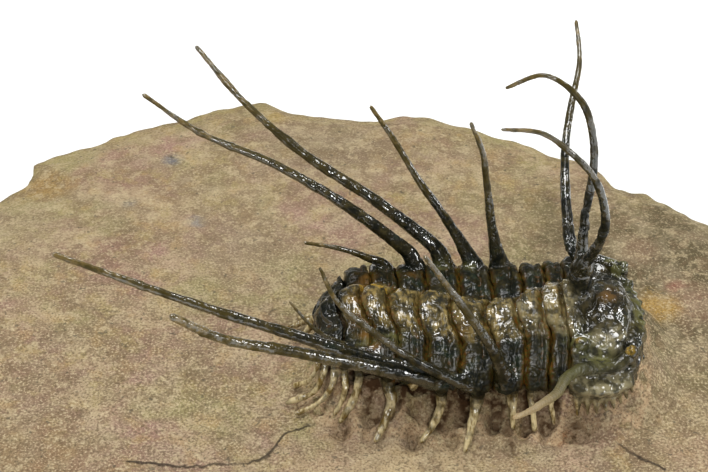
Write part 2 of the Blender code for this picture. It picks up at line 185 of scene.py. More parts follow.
def spine_solid(spine, flare=0.5, flare_length=1.3, knob=0.05, seed=0, lumps=()):
    """Skin a spine: a circle carried along its route, from a flared root to a rounded tip.

    Its radius falls evenly, is raised near the root by flare * exp(-distance / flare_length), swells and
    thins by a slow noise, and carries lumps given as (share of the length, extra radius, half length).
    """
    length = np.linalg.norm(np.diff(np.array(spine.route), axis=0), axis=1).sum()
    count = max(8, int(length / ROUTE_STEP))
    share = np.linspace(0.0, 1.0, count)
    centres = smooth_route(spine.route, share)
    radii = spine.root_radius + (spine.tip_radius - spine.root_radius) * share
    radii *= 1.0 + flare * np.exp(-share * length / flare_length)
    places = np.column_stack([share * length, np.full(count, SEED_STEP * seed), np.zeros(count)])
    slow, quick = SWELL_SIZES
    radii *= 1.0 + knob * (noise(places, slow, seed) + SWELL_SHARE * noise(places, quick, seed + 1))
    for place, extra, half in lumps:
        radii += extra * np.exp(-((share - place) * length / half) ** 2)
    left = (1.0 - share) * length / (TIP_LENGTH * spine.tip_radius)
    radii *= np.sqrt(np.clip(1.0 - (1.0 - np.clip(left, 0.0, 1.0)) ** 2, TIP_CLOSED, 1.0))
    return loft(circles(centres, radii, SPINE_SIDES))


def circles(centres, radii, sides):
    """Circles square to a path. Each starts at the part of one fixed axis that is square to the path."""
    heading = np.gradient(centres, axis=0)
    heading /= np.linalg.norm(heading, axis=1)[:, None]
    fixed = np.eye(3)[np.abs(heading).max(axis=0).argmin()]
    side = fixed - heading * (heading @ fixed)[:, None]
    side /= np.linalg.norm(side, axis=1)[:, None]
    other = np.cross(heading, side)
    angle = np.linspace(0.0, 2.0 * math.pi, sides, endpoint=False)[None, :, None]
    outwards = np.cos(angle) * side[:, None] + np.sin(angle) * other[:, None]
    return centres[:, None] + radii[:, None, None] * outwards


print("a spine 10 mm long has", len(spine_solid(Spine(1.0, 0.5, ((0, 0, 0), (0, 0, 10)))).points), "points")

# %% [markdown]
# ## From solids to one skin
# A spine grows out of its rib with no seam. So the solids of a piece are fused by a voxel remesh, softened by
# moving each point to the mean of its neighbours, and then given their surface by pushing the points along
# their normals. The hollows found on the finished skin are kept as an attribute, because rust and dust
# gather there.

# %% Fuse, soften and push
VOXEL = 0.15
SOFTENING = 2
HOLLOW_ROUNDS = 14
HOLLOW_DEPTH = 0.12
SPINE_CALM = 0.72
SHORT_CALM = 0.6
CALM_FROM = (0.01, 0.12)


def read(mesh, what, name, width, kind=np.float32):
    """One value of every element of a mesh, as an array."""
    items = getattr(mesh, what)
    values = np.empty(len(items) * width, kind)
    items.foreach_get(name, values)
    return values.reshape(-1, width)


def mesh_of(name, points, faces):
    """A mesh from points and a list of faces."""
    mesh = bpy.data.meshes.new(name)
    mesh.from_pydata(np.asarray(points).tolist(), [], faces)
    return mesh


def fused(name, solids):
    """One mesh round several closed solids: their union, sampled on a lattice."""
    points = np.concatenate([solid.points for solid in solids])
    starts = np.cumsum([0] + [len(solid.points) for solid in solids[:-1]]).tolist()
    faces = [[index + start for index in face]
             for solid, start in zip(solids, starts) for face in solid.faces]
    rough = bpy.data.objects.new(name, mesh_of(name, points, faces))
    bpy.context.scene.collection.objects.link(rough)
    skin = rough.modifiers.new("skin", "REMESH")
    skin.mode = "VOXEL"
    skin.voxel_size = VOXEL
    mesh = bpy.data.meshes.new_from_object(rough.evaluated_get(bpy.context.evaluated_depsgraph_get()))
    bpy.data.objects.remove(rough)
    return mesh


def softened(points, edges, rounds):
    """Move every point to the mean of its neighbours, a number of times."""
    a, b = edges.T
    count = np.bincount(edges.ravel(), minlength=len(points))
    for _ in range(rounds):
        points = np.column_stack([
            (np.bincount(a, points[b, k], len(points)) + np.bincount(b, points[a, k], len(points))) / count
            for k in range(3)])
    return points


def normals_of(mesh, points):
    """The outward direction at every point, once the mesh has taken these points."""
    mesh.vertices.foreach_set("co", points.astype(np.float32).ravel())
    mesh.update()
    return read(mesh, "vertex_normals", "vector", 3).astype(float)


def sculpt(name, solids, relief, tints, hollow_share=1.0):
    """Fuse solids into a skin, push its points out by relief(points), and keep tints(points) as attributes.

    The relief is weaker on spines. A hollow is how far a much softened copy of the skin lies over it.
    """
    mesh = fused(name, solids)
    edges = read(mesh, "edges", "vertices", 2, np.int32)
    points = softened(read(mesh, "vertices", "co", 3).astype(float), edges, SOFTENING)
    normals = normals_of(mesh, points)
    layers = tints(points)
    calm = 1.0 - SPINE_CALM * np.maximum(rise(layers["tip"], *CALM_FROM), SHORT_CALM * layers["short"])
    points = points + normals * (calm * relief(points))[:, None]
    normals = normals_of(mesh, points)
    depth = ((softened(points, edges, HOLLOW_ROUNDS) - points) * normals).sum(axis=1)
    layers["hollow"] = hollow_share * np.clip(depth / HOLLOW_DEPTH, -1.0, 1.0)
    return finished(name, mesh, points, layers)


def finished(name, mesh, points, layers):
    """Put the points in their place in metres, store the layers, and make the object."""
    mesh.name = name
    mesh.vertices.foreach_set("co", ((points + DATUM) * MM).astype(np.float32).ravel())
    for layer, values in layers.items():
        mesh.attributes.new(layer, "FLOAT", "POINT").data.foreach_set("value", values.astype(np.float32))
    mesh.shade_smooth()
    mesh.update()
    piece = bpy.data.objects.new(name, mesh)
    bpy.context.scene.collection.objects.link(piece)
    print(f"{name}: {len(mesh.loops) - 2 * len(mesh.polygons)} triangles")
    return piece


print("skins are fused on a lattice of", VOXEL, "mm")

# %% [markdown]
# ## Measures along strokes and spots
# Furrows, ridges and coloured patches follow lines and places on the animal. Each is a bell-shaped weight
# round a route or a point: exp(-(distance / width)^2).

# %% Strokes and spots
LINE_POINTS = 60


def nearest_on(points, route, count=LINE_POINTS):
    """Distance from every point to a smooth route, and the share of its length where that is nearest."""
    share = np.linspace(0.0, 1.0, count)
    line = smooth_route(route, share)
    squared = (points**2).sum(axis=1)[:, None] - 2.0 * points @ line.T + (line**2).sum(axis=1)
    nearest = squared.argmin(axis=1)
    return np.linalg.norm(points - line[nearest], axis=1), share[nearest]


def stroke(points, route, width):
    """A bell-shaped weight round a route."""
    return np.exp(-(nearest_on(points, route)[0] / width) ** 2)


def spots(points, places):
    """The strongest of several bell-shaped weights, each round a place: (ahead, left, up, width)."""
    weights = [np.exp(-(((points - place[:3]) ** 2).sum(axis=1)) / place[3] ** 2) for place in places]
    return np.max(weights, axis=0)


print("a spot 1 mm wide, 1 mm off:", spots(np.array([[1.0, 0, 0]]), np.array([[0.0, 0, 0, 1]])).round(2))

# %% [markdown]
# ## The body's sections
# One row for each place along the animal where its section is known: how wide it is, how high its edge and
# its crest lie, and how wide and high the ring along its middle stands. Values between rows follow a smooth
# curve. A fossil is seldom quite even, so the ring is pressed a little to one side where the photo shows it.

# %% Body
SECTIONS = (
    Section(-4.9, 1.0, 2.4, 6.3, 7.2, 1.1, 7.6, 0.3),
    Section(-3.9, 0.9, 4.4, 6.5, 8.3, 1.9, 9.6, 0.6),
    Section(-2.5, 0.9, 6.2, 6.6, 9.1, 2.6, 10.8, 0.9),
    Section(-1.1, 1.1, 8.0, 6.7, 9.6, 3.1, 11.2, 1.2),
    Section(0.7, 1.4, 9.0, 6.7, 9.9, 3.5, 11.5, 1.4),
    Section(4.1, 0.9, 9.9, 6.6, 9.9, 3.9, 11.6, 1.4),
    Section(7.6, 0.4, 10.6, 6.4, 9.9, 4.0, 11.6, 1.4, -0.6),
    Section(11.6, 0.1, 11.0, 6.3, 9.8, 4.2, 11.5, 1.4, -0.6),
    Section(15.9, -0.1, 11.3, 6.2, 9.6, 3.9, 11.3, 1.4, -1.3),
    Section(19.9, 0.0, 11.2, 6.3, 9.8, 3.5, 11.7, 1.4, -1.3),
    Section(23.5, 0.0, 11.2, 6.3, 10.0, 3.8, 12.2, 1.4, -0.2),
    Section(26.2, 0.1, 11.1, 6.2, 10.3, 4.3, 12.8, 1.3, 0.2),
    Section(27.4, 0.1, 11.1, 6.2, 10.4, 4.5, 13.2, 1.2),
    Section(28.6, 0.1, 11.1, 6.2, 10.4, 4.5, 13.2, 1.2),
)
HEAD_SECTIONS = (
    Section(27.55, 0.1, 11.5, 6.3, 9.9, 4.6, 13.8, 1.1),
    Section(28.6, 0.1, 11.9, 6.2, 9.8, 4.6, 13.4, 1.0),
    Section(29.6, 0.1, 12.1, 6.1, 9.6, 4.8, 11.4, 0.6),
    Section(31.3, 0.1, 12.2, 5.9, 9.8, 5.4, 12.2, 0.3),
    Section(33.1, 0.1, 11.5, 5.6, 9.7, 5.4, 12.4, 0.0),
    Section(34.8, 0.1, 9.8, 5.3, 9.5, 4.9, 11.4, 0.0),
    Section(36.2, 0.1, 7.3, 5.0, 8.8, 3.9, 9.6, 0.0),
    Section(37.0, 0.1, 4.6, 4.8, 7.6, 2.4, 7.9, 0.0),
    Section(37.4, 0.1, 2.0, 4.8, 6.0, 1.0, 6.2, 0.0),
)
SEGMENT_ENDS = (27.4, 25.0, 21.9, 18.0, 13.8, 9.5, 5.8, 2.4, -1.1)
SHOULDER_POWER = 4.2
VAULT_POWER = 0.85
VAULT_SPREAD = 1.1
SWEEP = 0.6
RIM = 0.4


def sections_at(rows, ahead):
    """The sections at several places, as one Section of columns."""
    table = np.array(rows)
    return Section(*through(table[:, 0], table, np.asarray(ahead, float)).T[:, :, None])


def vault_of(section, y):
    """How far the ring stands up at a distance from the middle: (1 - ((y - shift) / (1.1 axis))^2)^0.85."""
    off = (y - section.shift) / (VAULT_SPREAD * section.axis)
    return np.clip(1.0 - off**2, 0.0, 1.0) ** VAULT_POWER


def arch(section, across):
    """Points over the back: rows along the body, columns across it at shares of the half width.

    The flank is a superellipse from edge to crest. The ring stands on it and leans back.
    """
    y = across * section.width
    flank = (1.0 - np.abs(across) ** SHOULDER_POWER) ** (1.0 / SHOULDER_POWER)
    vault = vault_of(section, y)
    height = section.edge + (section.crest - section.edge) * flank + (section.ring - section.crest) * vault
    ahead = section.ahead - section.lean * vault - SWEEP * across**2
    return np.stack([ahead, section.middle + y, height], axis=-1)


def across_shares(count):
    """Shares across the body that crowd towards its steep edges: sin(pi/2 * t)."""
    return np.sin(np.linspace(-1.0, 1.0, count) * math.pi / 2)[None, :]


def grid_normals(grid):
    """Directions square to a grid of points, from the cross product of its two gradients."""
    along, across = np.gradient(grid, axis=0), np.gradient(grid, axis=1)
    normal = np.cross(across, along)
    return normal / np.maximum(np.linalg.norm(normal, axis=-1, keepdims=True), 1e-9)


print("body without spines:", round(HEAD_SECTIONS[-1].ahead - SECTIONS[0].ahead, 1), "mm long")

# %% [markdown]
# ## Spines of the thorax
# Ribs three to seven carry a long free spine on each side, and every rib has a short spine below it that
# curls down to the rock. The routes are given from root to tip: the first of each pair is on the
# animal's left.

# %% Spines
THORAX_SPINES = {
    3: (Spine(0.80, 0.30, ((19.2, 10.2, 7.5), (18.7, 10.6, 10.0), (17.8, 11.3, 14.8), (17.1, 12.0, 20.2),
                           (16.4, 12.7, 25.5), (14.7, 13.4, 30.1))),
        Spine(0.85, 0.33, ((19.2, -10.3, 6.9), (18.8, -10.6, 8.6), (16.9, -11.2, 13.9), (14.1, -12.0, 19.7),
                           (11.1, -12.7, 25.4), (8.3, -13.4, 30.7)))),
    4: (Spine(0.80, 0.30, ((15.9, 10.1, 7.5), (14.8, 10.9, 10.1), (11.9, 12.2, 15.1), (8.4, 13.6, 20.2),
                           (5.2, 15.1, 25.6), (2.0, 16.5, 30.3))),
        Spine(0.75, 0.25, ((15.4, -10.3, 6.8), (12.9, -10.9, 8.0), (7.6, -12.3, 12.5), (2.6, -13.8, 18.4),
                           (-1.9, -15.3, 24.7), (-4.1, -16.5, 31.5)))),
    5: (Spine(1.00, 0.34, ((12.2, 9.4, 6.8), (11.0, 11.0, 10.4), (9.0, 12.0, 12.2), (2.3, 15.2, 16.1),
                           (-6.5, 19.1, 20.3), (-14.4, 23.1, 25.9), (-20.6, 26.8, 32.2))),
        Spine(1.00, 0.52, ((11.2, -9.9, 7.3), (8.2, -11.4, 9.1), (0.8, -15.0, 14.4), (-7.3, -19.1, 20.3),
                           (-15.3, -23.2, 26.0), (-21.3, -26.8, 32.9)))),
    6: (Spine(0.95, 0.30, ((8.3, 9.2, 6.8), (7.5, 10.1, 10.3), (5.6, 10.5, 12.4), (-1.4, 11.6, 18.1),
                           (-10.1, 13.0, 23.4), (-19.5, 14.4, 27.4), (-26.9, 15.7, 32.8))),
        Spine(0.95, 0.38, ((7.0, -9.3, 8.0), (2.9, -10.4, 10.7), (-6.4, -11.7, 15.9), (-16.7, -13.0, 21.4),
                           (-26.7, -14.4, 27.3), (-35.8, -15.7, 32.9)))),
    7: (Spine(0.55, 0.25, ((5.0, 9.2, 7.6), (3.8, 9.5, 9.7), (1.9, 8.9, 11.2), (-0.3, 8.0, 13.0),
                           (-2.5, 7.0, 14.6), (-6.5, 5.5, 16.7))),
        Spine(0.45, 0.20, ((3.4, -6.4, 8.6), (-0.8, -6.4, 9.8), (-4.9, -6.2, 12.4), (-8.2, -6.0, 17.0)))),
}
GENAL_SPINES = (
    Spine(0.95, 0.30, ((34.2, 8.6, 9.4), (33.0, 10.2, 9.1), (31.0, 11.0, 9.2), (28.8, 11.2, 9.7),
                       (28.1, 13.7, 11.3), (27.8, 19.3, 14.3), (28.0, 24.8, 17.3), (29.0, 30.2, 20.2),
                       (30.2, 35.6, 23.2), (29.9, 41.0, 26.2))),
    Spine(0.95, 0.30, ((34.2, -8.6, 9.4), (33.0, -10.2, 9.1), (31.2, -10.9, 9.2), (29.3, -11.3, 10.2),
                       (28.0, -13.6, 12.3), (25.7, -19.0, 15.9), (24.1, -24.9, 18.9), (22.0, -30.4, 22.5),
                       (19.9, -35.8, 26.2), (17.8, -41.0, 30.2))),
)

# Repairs and knots on the long spines, by segment and side: share of the length, extra radius, half length
SPINE_LUMPS = {
    (6, 0): ((0.80, 0.10, 0.5), (0.70, 0.08, 0.4)),
    (6, 1): ((0.76, 0.08, 0.25),),
    (5, 0): ((0.62, 0.08, 1.2), (0.86, 0.08, 1.4)),
    (5, 1): ((0.86, 0.10, 0.3), (0.62, 0.08, 0.3)),
}

# Short spines on the animal's right, from the middle of their length to the tip; the left ones mirror them
LOWER_SPINES = {
    1: ((24.8, -10.4, 4.4), (25.0, -11.3, 2.8), (25.3, -12.0, 1.2)),
    2: ((22.2, -10.4, 4.6), (22.5, -11.2, 3.2), (22.8, -12.8, 0.8)),
    3: ((19.9, -10.5, 4.6), (20.0, -11.5, 3.2), (20.0, -12.6, 0.9)),
    4: ((15.5, -10.5, 4.8), (15.2, -11.6, 3.4), (14.6, -13.8, 1.8), (13.8, -16.1, 0.3)),
    5: ((11.0, -10.5, 4.8), (10.8, -11.3, 3.6), (9.9, -12.6, 1.9), (8.3, -14.4, 0.4)),
    6: ((7.4, -9.9, 5.0), (6.6, -10.9, 3.4), (5.9, -12.2, 1.8), (4.6, -14.0, 0.5)),
    7: ((4.5, -9.0, 5.2), (4.7, -10.2, 4.0), (4.0, -11.8, 2.0), (2.5, -14.2, 0.3)),
    8: ((0.6, -7.8, 5.3), (0.4, -8.5, 4.0), (-0.5, -9.5, 2.2), (-2.0, -10.9, 0.4)),
}
LOWER_RADIUS = 1.0
LOWER_TIP_RADIUS = 0.38
LOWER_SHARES = {1: 0.5, 2: 0.5, 3: 0.75, 8: 0.7}
LOWER_ROOT = (1.1, 0.8)
BROKEN_LOWER_SPINE = (6, -1)
STUB_COUNT = 1


def edge_root(rows, ahead, side, place):
    """Where a spine is rooted in the edge of the body, at a place in from the edge and up from it."""
    section = Section(*(float(column.item()) for column in sections_at(rows, [ahead])))
    inwards, up = place
    left = section.middle + side * (section.width - inwards)
    return np.array([section.ahead - SWEEP, left, section.edge + up])


def lower_spine(route, side, radius):
    """A short spine from the edge of the body to the rock, on either side."""
    turned = np.array(route) * (1, -side, 1)
    root = edge_root(SECTIONS, route[0][0] + SWEEP, side, LOWER_ROOT)
    return Spine(radius, LOWER_TIP_RADIUS, (root, *turned))


def lower_spines(number):
    """The two short spines of one rib; the broken one keeps only its first points."""
    radius = LOWER_RADIUS * LOWER_SHARES.get(number, 1.0)
    made = []
    for side in (-1, 1):
        kept = STUB_COUNT if (number, side) == BROKEN_LOWER_SPINE else None
        made.append(lower_spine(LOWER_SPINES[number][:kept], side, radius))
    return made


long_count = sum(len(pair) for pair in THORAX_SPINES.values())
print("long spines:", long_count, "and short ones:", 2 * len(LOWER_SPINES))

# %% [markdown]
# ## Surface of the calcite
# Under the coating the shell is wrinkled across the rings, pitted between them and finely lumpy all over.
# Those forms are large enough to break up the outline and the reflections, so they are moved in the mesh.
# Only the finest grain is left to the material.


# %% Relief shared by every plate
def calcite_relief(points, seed, wrinkled=0.11):
    """Height of the lumps, wrinkles, creases and pits at each point. Heights and sizes are in millimetres."""
    lumps = 0.13 * noise(points, 1.8, seed) + 0.07 * noise(points, 0.85, seed + 1)
    wrinkles = wrinkled * noise(points, (0.5, 1.9, 0.9), seed + 2)
    creases = -0.14 * rise(1.0 - np.abs(noise(points, (1.3, 2.2, 1.6), seed + 5)), 0.86, 1.0)
    grain = 0.04 * noise(points, 0.42, seed + 3)
    pits = -0.12 * rise(noise(points, 0.9, seed + 4), 0.55, 0.85)
    return lumps + wrinkles + creases + grain + pits


sample = calcite_relief(1.7 * np.indices((15, 15, 15)).reshape(3, -1).T, 0)
print("relief from", sample.min().round(2), "to", sample.max().round(2), "mm")

# %% [markdown]
# ## Where the colours lie
# The material needs to know where a point is: how far along a spine, on a ring, at a joint between plates, or
# in one of the patches that the photo shows. Each answer is kept on the mesh as an attribute from 0 to 1.

# %% Coloured places
SPINE_REACH = 1.6
SHORT_REACH = 1.1
SHORT_POINTS = 12
SHORT_FADE = (0.12, 0.45)
ROOT_SHARE = 0.02
GLOSSY_SHARE = 0.03
HEAD_START = 27.7
RING_ON_HEAD = 0.15
BRASS_ON_HEAD = 0.6
FRINGE_START = 28.1
FRINGE_TINT = 0.4
HEAD_GLOSS = 0.8

# Rusty joints between the plates: where each lies along the animal, and how strong its colour is
SEAMS = ((27.4, 0.5), (25.0, 1.0), (21.9, 1.0), (18.0, 0.5), (13.8, 1.0), (9.5, 0.6), (5.8, 0.7), (2.4, 1.0))
SEAM_WIDTH = 0.42

# Coloured patches on the animal: ahead, left, up, width
GREEN_SPOTS = np.array([
    (1.5, -5.1, 8.7, 1.3), (5.2, -4.6, 8.8, 1.3), (15.1, 9.6, 8.9, 0.8), (11.0, 9.4, 9.0, 1.0),
    (28.5, -5.9, 9.6, 1.6), (30.6, -8.8, 9.8, 2.0), (36.6, -0.5, 8.4, 2.2), (36.4, 2.4, 8.4, 2.0),
    (35.9, 4.6, 8.2, 1.6), (34.4, 8.6, 10.0, 1.8),
])
AMBER_SPOTS = np.array([
    (0.5, 0.6, 10.9, 1.3), (1.2, 4.0, 9.8, 1.3), (0.6, -2.2, 10.7, 1.1), (1.3, -4.4, 9.8, 0.9),
    (1.6, 6.2, 9.4, 1.2), (4.7, -0.5, 10.2, 1.0), (2.6, -6.6, 9.3, 0.9), (32.3, 0.2, 12.3, 1.1),
    (13.8, -3.7, 10.0, 1.1), (7.4, 7.0, 9.2, 0.7), (32.5, 8.8, 10.0, 0.5),
])
BRASS_SPOTS = np.array([
    (34.7, -8.5, 10.9, 0.9), (28.2, -6.4, 10.6, 0.8), (0.9, 3.9, 10.5, 0.6), (1.7, 3.8, 10.7, 0.6),
    (2.5, 3.7, 10.8, 0.6), (3.3, 3.3, 10.9, 0.6), (4.4, 2.8, 11.0, 0.6), (5.3, 2.8, 11.0, 0.6),
])
# Paler grey patches, partly painted sheen where the glabella, the cheek roll and the front rings catch the
# light.
GREY_AND_SHEEN_SPOTS = np.array([
    (31.4, -5.9, 9.8, 1.9), (33.2, -5.0, 9.8, 1.3), (29.6, -12.4, 7.6, 2.2), (31.6, -12.4, 7.4, 2.2),
    (33.4, -11.4, 7.1, 2.0), (26.7, -1.7, 13.3, 1.4), (26.9, -3.7, 11.2, 1.3), (27.3, 2.0, 13.2, 1.4),
    (24.0, -0.6, 12.6, 1.3), (24.2, -3.0, 11.6, 1.3), (20.8, -1.6, 12.0, 1.2), (21.0, -3.6, 11.2, 1.0),
])


def spine_tints(points, long_spines, short_ones):
    """Where a point lies on a long spine, as a share from root to tip, and how far it is on a short one."""
    tip = np.zeros(len(points))
    for spine in long_spines:
        distance, share = nearest_on(points, spine.route)
        tip = np.where(distance < SPINE_REACH, np.maximum(tip, share), tip)
    short = np.zeros(len(points))
    for spine in short_ones:
        distance, share = nearest_on(points, spine.route, SHORT_POINTS)
        short = np.maximum(short, np.where(distance < SHORT_REACH, rise(share, *SHORT_FADE), 0.0))
    return {"tip": tip, "short": short}


def seam_places(points, section):
    """How near a point is to a joint between plates, once the arch's sweep and lean are taken back."""
    y = points[:, 1:2] - section.middle
    across = np.clip(y / section.width, -1.0, 1.0)
    straight = (points[:, :1] + section.lean * vault_of(section, y) + SWEEP * across**2)[:, 0]
    nearby = [strength * np.exp(-((straight - ahead) / SEAM_WIDTH) ** 2) for ahead, strength in SEAMS]
    return np.max(nearby, axis=0)


def pale_spine(points):
    """How far a point is along the matt, paler genal spine on the animal's right."""
    distance, share = nearest_on(points, GENAL_SPINES[1].route)
    return rise(-distance, -1.7, -1.1) * rise(share, 0.08, 0.36)


def body_tints(points, longs, shorts):
    """Every attribute that the calcite's material reads, but for the hollows."""
    ahead, up = points[:, 0], points[:, 2]
    section = sections_at(SECTIONS, ahead)
    off_ring = (np.abs(points[:, 1:2] - section.middle - section.shift) - section.axis)[:, 0]
    tints = spine_tints(points, longs, shorts)
    tints["short"] *= np.where(ahead > FRINGE_START, FRINGE_TINT, 1.0)
    tints["seam"] = seam_places(points, section) * (tints["tip"] < ROOT_SHARE) * rise(up, 5.6, 6.4)
    tints["green"] = spots(points, GREEN_SPOTS)
    tints["amber"] = spots(points, AMBER_SPOTS)
    tints["brass"] = spots(points, BRASS_SPOTS) * np.where(ahead > HEAD_START, BRASS_ON_HEAD, 1.0)
    ring = rise(-off_ring, -0.8, 0.6) * rise(ahead, -1.8, -0.6)
    tints["ring"] = ring * np.where(ahead > HEAD_START, RING_ON_HEAD, 1.0) * rise(-up, -15.0, -13.0)
    tints["grey_and_sheen"] = spots(points, GREY_AND_SHEEN_SPOTS)
    tints["pale"] = pale_spine(points)
    glossy = rise(-off_ring, -1.2, 0.4) + (tints["tip"] > GLOSSY_SHARE) + tints["short"]
    glossy = glossy + HEAD_GLOSS * rise(ahead, 27.0, 28.0) + rise(-ahead, 0.5, 1.5)
    tints["gloss"] = np.clip(glossy, 0.0, 1.0)
    return tints


print("attributes:", *body_tints(np.zeros((1, 3)), (), ()))

# %% [markdown]
# ## Thoracic segments
# A segment is a vaulted ring with a flat rib on each side. In front is a low band that slid under the next
# segment. Behind it is a furrow, and then the swollen band that carries the long spine. The plate is one
# surface over two parameters, share along the segment and share across it, closed by the same surface set in
# by the thickness of the shell.

# %% One segment
RIB_ROWS = 36
RIB_COLUMNS = 171
SHELL = 1.5
LAP = 1.0
LAP_DEPTH = 1.2
REAR_DEPTH = 0.45
PLATE_GAP = 0.1
ROOT_FLARE = (1.5, 1.1)


def rib_depth(share, beyond):
    """How far the surface lies below the plain arch, at a share along the segment.

    The ring and the rib beyond its edge have their own profiles: a low front, a swollen band and a rear edge
    that dips. The rib has a furrow across it too.
    """
    ring = LAP_DEPTH * (1.0 - rise(share, 0.0, 0.22))
    ring = ring + REAR_DEPTH * rise(share, 0.80, 1.0) - 0.15 * rise(share, 0.3, 0.7)
    furrow = 0.40 * np.exp(-((share - 0.36) / 0.08) ** 2)
    rib = LAP_DEPTH * (1.0 - rise(share, 0.0, 0.08)) + furrow
    rib = rib + REAR_DEPTH * rise(share, 0.88, 1.0) - 0.1 * np.sin(math.pi * share)
    axial_furrow = 0.15 * np.exp(-(beyond / 0.05) ** 2)
    on_ring = rise(-beyond, 0.0, 0.08)
    return on_ring * ring + (1.0 - on_ring) * rib + axial_furrow


def segment_shell(number):
    """The plate of one segment, as a closed solid. Its front slides under the plate ahead of it."""
    front, rear = SEGMENT_ENDS[number - 1] - PLATE_GAP / 2, SEGMENT_ENDS[number] + PLATE_GAP / 2
    share = np.linspace(-LAP / (front - rear), 1.0, RIB_ROWS)[:, None]
    section = sections_at(SECTIONS, front + (rear - front) * share[:, 0])
    across = across_shares(RIB_COLUMNS)
    plain = arch(section, across)
    normal = grid_normals(plain)
    normal *= np.sign(normal[..., 2:].sum(axis=1, keepdims=True))
    thickness = SHELL + 0.3 - 0.75 * rise(share, 0.5, 0.8)
    beyond = np.abs(across - section.shift / section.width) - section.axis / section.width
    outer = plain - normal * rib_depth(share, beyond)[..., None]
    inner = plain - normal * thickness[..., None]
    return loft(np.concatenate([outer, inner[:, ::-1]], axis=1), paired=True)


def thoracic_segment(number):
    """One segment with its long and short spines, fused."""
    longs = THORAX_SPINES.get(number, ())
    shorts = lower_spines(number)
    solids = [segment_shell(number)]
    for side, spine in enumerate(longs):
        lumps = SPINE_LUMPS.get((number, side), ())
        solids.append(spine_solid(spine, ROOT_FLARE[side], 2.2, seed=10 * number + side, lumps=lumps))
    for side, spine in enumerate(shorts):
        solids.append(spine_solid(spine, flare=0.4, flare_length=1.0, knob=0.2, seed=number + 5 * side))
    piece = sculpt(f"segment_{number}", solids, lambda points: calcite_relief(points, 7 * number),
                   lambda points: body_tints(points, longs, shorts))
    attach(piece, "root")
    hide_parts(f"thoracic_segment_{number}")
    return piece


segments = [thoracic_segment(number) for number in range(1, len(SEGMENT_ENDS))]

# %% [markdown]
# ## Head shield
# The glabella swells in the middle between deep furrows. From each eye, a bead on a stalk, a ridge runs back
# over the cheek and leaves it as the genal spine. Behind the glabella stands a thick trunk that carries two
# horns. The edge of the cheek is rolled under and has a fringe of short spines. The shield is lofted like the
# body, and its furrows and ridges are strokes that push the skin in or out.

# %% Head
EYE_PLACE = (34.9, 8.3, 10.6)
EYE_RADII = {-1: 0.75, 1: 0.55}
KNOB_PLACE = (28.7, 6.5, 9.6)
KNOB_RADIUS = 0.8
EYE_STALK = Spine(0.75, 0.6, ((-0.4, 0.0, -2.6), (-0.2, 0.0, -1.3), (0.0, 0.0, 0.2)))
HORNS = (
    Spine(0.75, 0.28, ((28.6, 0.9, 17.6), (28.9, 2.0, 24.5), (29.5, 2.5, 30.1), (29.3, 3.1, 35.6),
                       (27.5, 3.7, 40.9), (23.1, 4.3, 44.1), (18.3, 5.0, 41.6))),
    Spine(0.75, 0.28, ((28.6, -0.7, 17.6), (30.8, -2.0, 24.3), (30.6, -2.5, 29.4), (29.0, -3.0, 34.3),
                       (26.0, -3.6, 38.5), (22.3, -4.3, 42.0), (17.3, -5.0, 43.1))),
)
TRUNK = Spine(1.65, 1.25, ((28.7, 0.2, 9.6), (28.6, 0.2, 14.6), (28.9, 0.1, 19.2)))
FRINGE_COUNT = 12
FRINGE_TURN = math.radians(80)
FRINGE_AHEAD = (28.7, 37.2)
FRINGE_LENGTH = (3.2, 0.9)
FRINGE_RADIUS = (0.70, 0.42)
FRINGE_ROOT = (0.7, 0.5)
FRINGE_SPLAY = (0.5, 0.4)
FRINGE_TAPER = 0.3
HEAD_ROWS = 90
HEAD_COLUMNS = 181
HEAD_BASE = 4.5
HEAD_FLOOR = 0.9
HEAD_HOLLOWS = 0.5

# Furrows and ridges of the head on the animal's left, mirrored to its right: route, width, height
HEAD_STROKES = (
    (((29.0, 6.2, 9.8), (29.9, 7.6, 9.5), (31.1, 8.2, 9.3), (32.6, 8.1, 9.3), (33.4, 7.2, 9.4),
      (34.4, 6.0, 9.6)), 0.55, -0.8),
    (((34.4, 6.0, 9.6), (34.9, 4.4, 9.8), (35.0, 2.2, 10.1), (34.9, 0.0, 10.3)), 0.6, -0.6),
    (((29.4, 4.2, 10.6), (31.4, 4.4, 10.8), (33.8, 4.0, 10.3)), 0.5, -0.35),
    (((29.6, 5.9, 10.0), (31.4, 6.3, 10.0), (33.3, 5.6, 10.0)), 1.5, 0.75),
    (((28.4, 6.5, 10.0), (28.7, 6.6, 10.0)), 0.8, 0.5),
    (((29.2, 9.9, 10.3), (31.2, 10.0, 9.9), (33.0, 9.4, 9.8), (34.5, 8.6, 10.0)), 0.8, 0.5),
    (((28.6, 11.4, 9.2), (30.4, 11.8, 8.9), (32.6, 11.2, 8.8), (34.4, 9.9, 8.6)), 0.65, -1.1),
    (((28.0, 12.0, 7.6), (30.6, 12.2, 7.4), (33.2, 11.3, 7.0), (34.6, 9.9, 6.7)), 1.0, 0.95),
    (((34.6, 9.9, 6.7), (35.2, 9.2, 6.5), (36.8, 5.6, 6.1), (37.6, 0.6, 5.9)), 0.9, 0.3),
    (((36.2, 0.0, 9.0), (36.0, 3.0, 8.9), (35.4, 5.6, 8.8), (34.9, 7.0, 9.0)), 0.75, 0.45),
)
BEAD_HEIGHT = 0.35
RIM_BEADS = np.array([
    (36.4, -3.0, 9.0, 0.4), (36.6, -1.4, 9.0, 0.35), (36.7, 0.6, 8.9, 0.4), (36.5, 2.6, 8.9, 0.35),
    (36.1, 4.4, 8.9, 0.4), (35.5, 6.2, 8.9, 0.35), (36.0, -5.0, 8.8, 0.35), (33.2, 10.3, 8.8, 0.4),
    (32.0, 11.0, 8.7, 0.35), (33.4, -10.4, 8.0, 0.35),
])


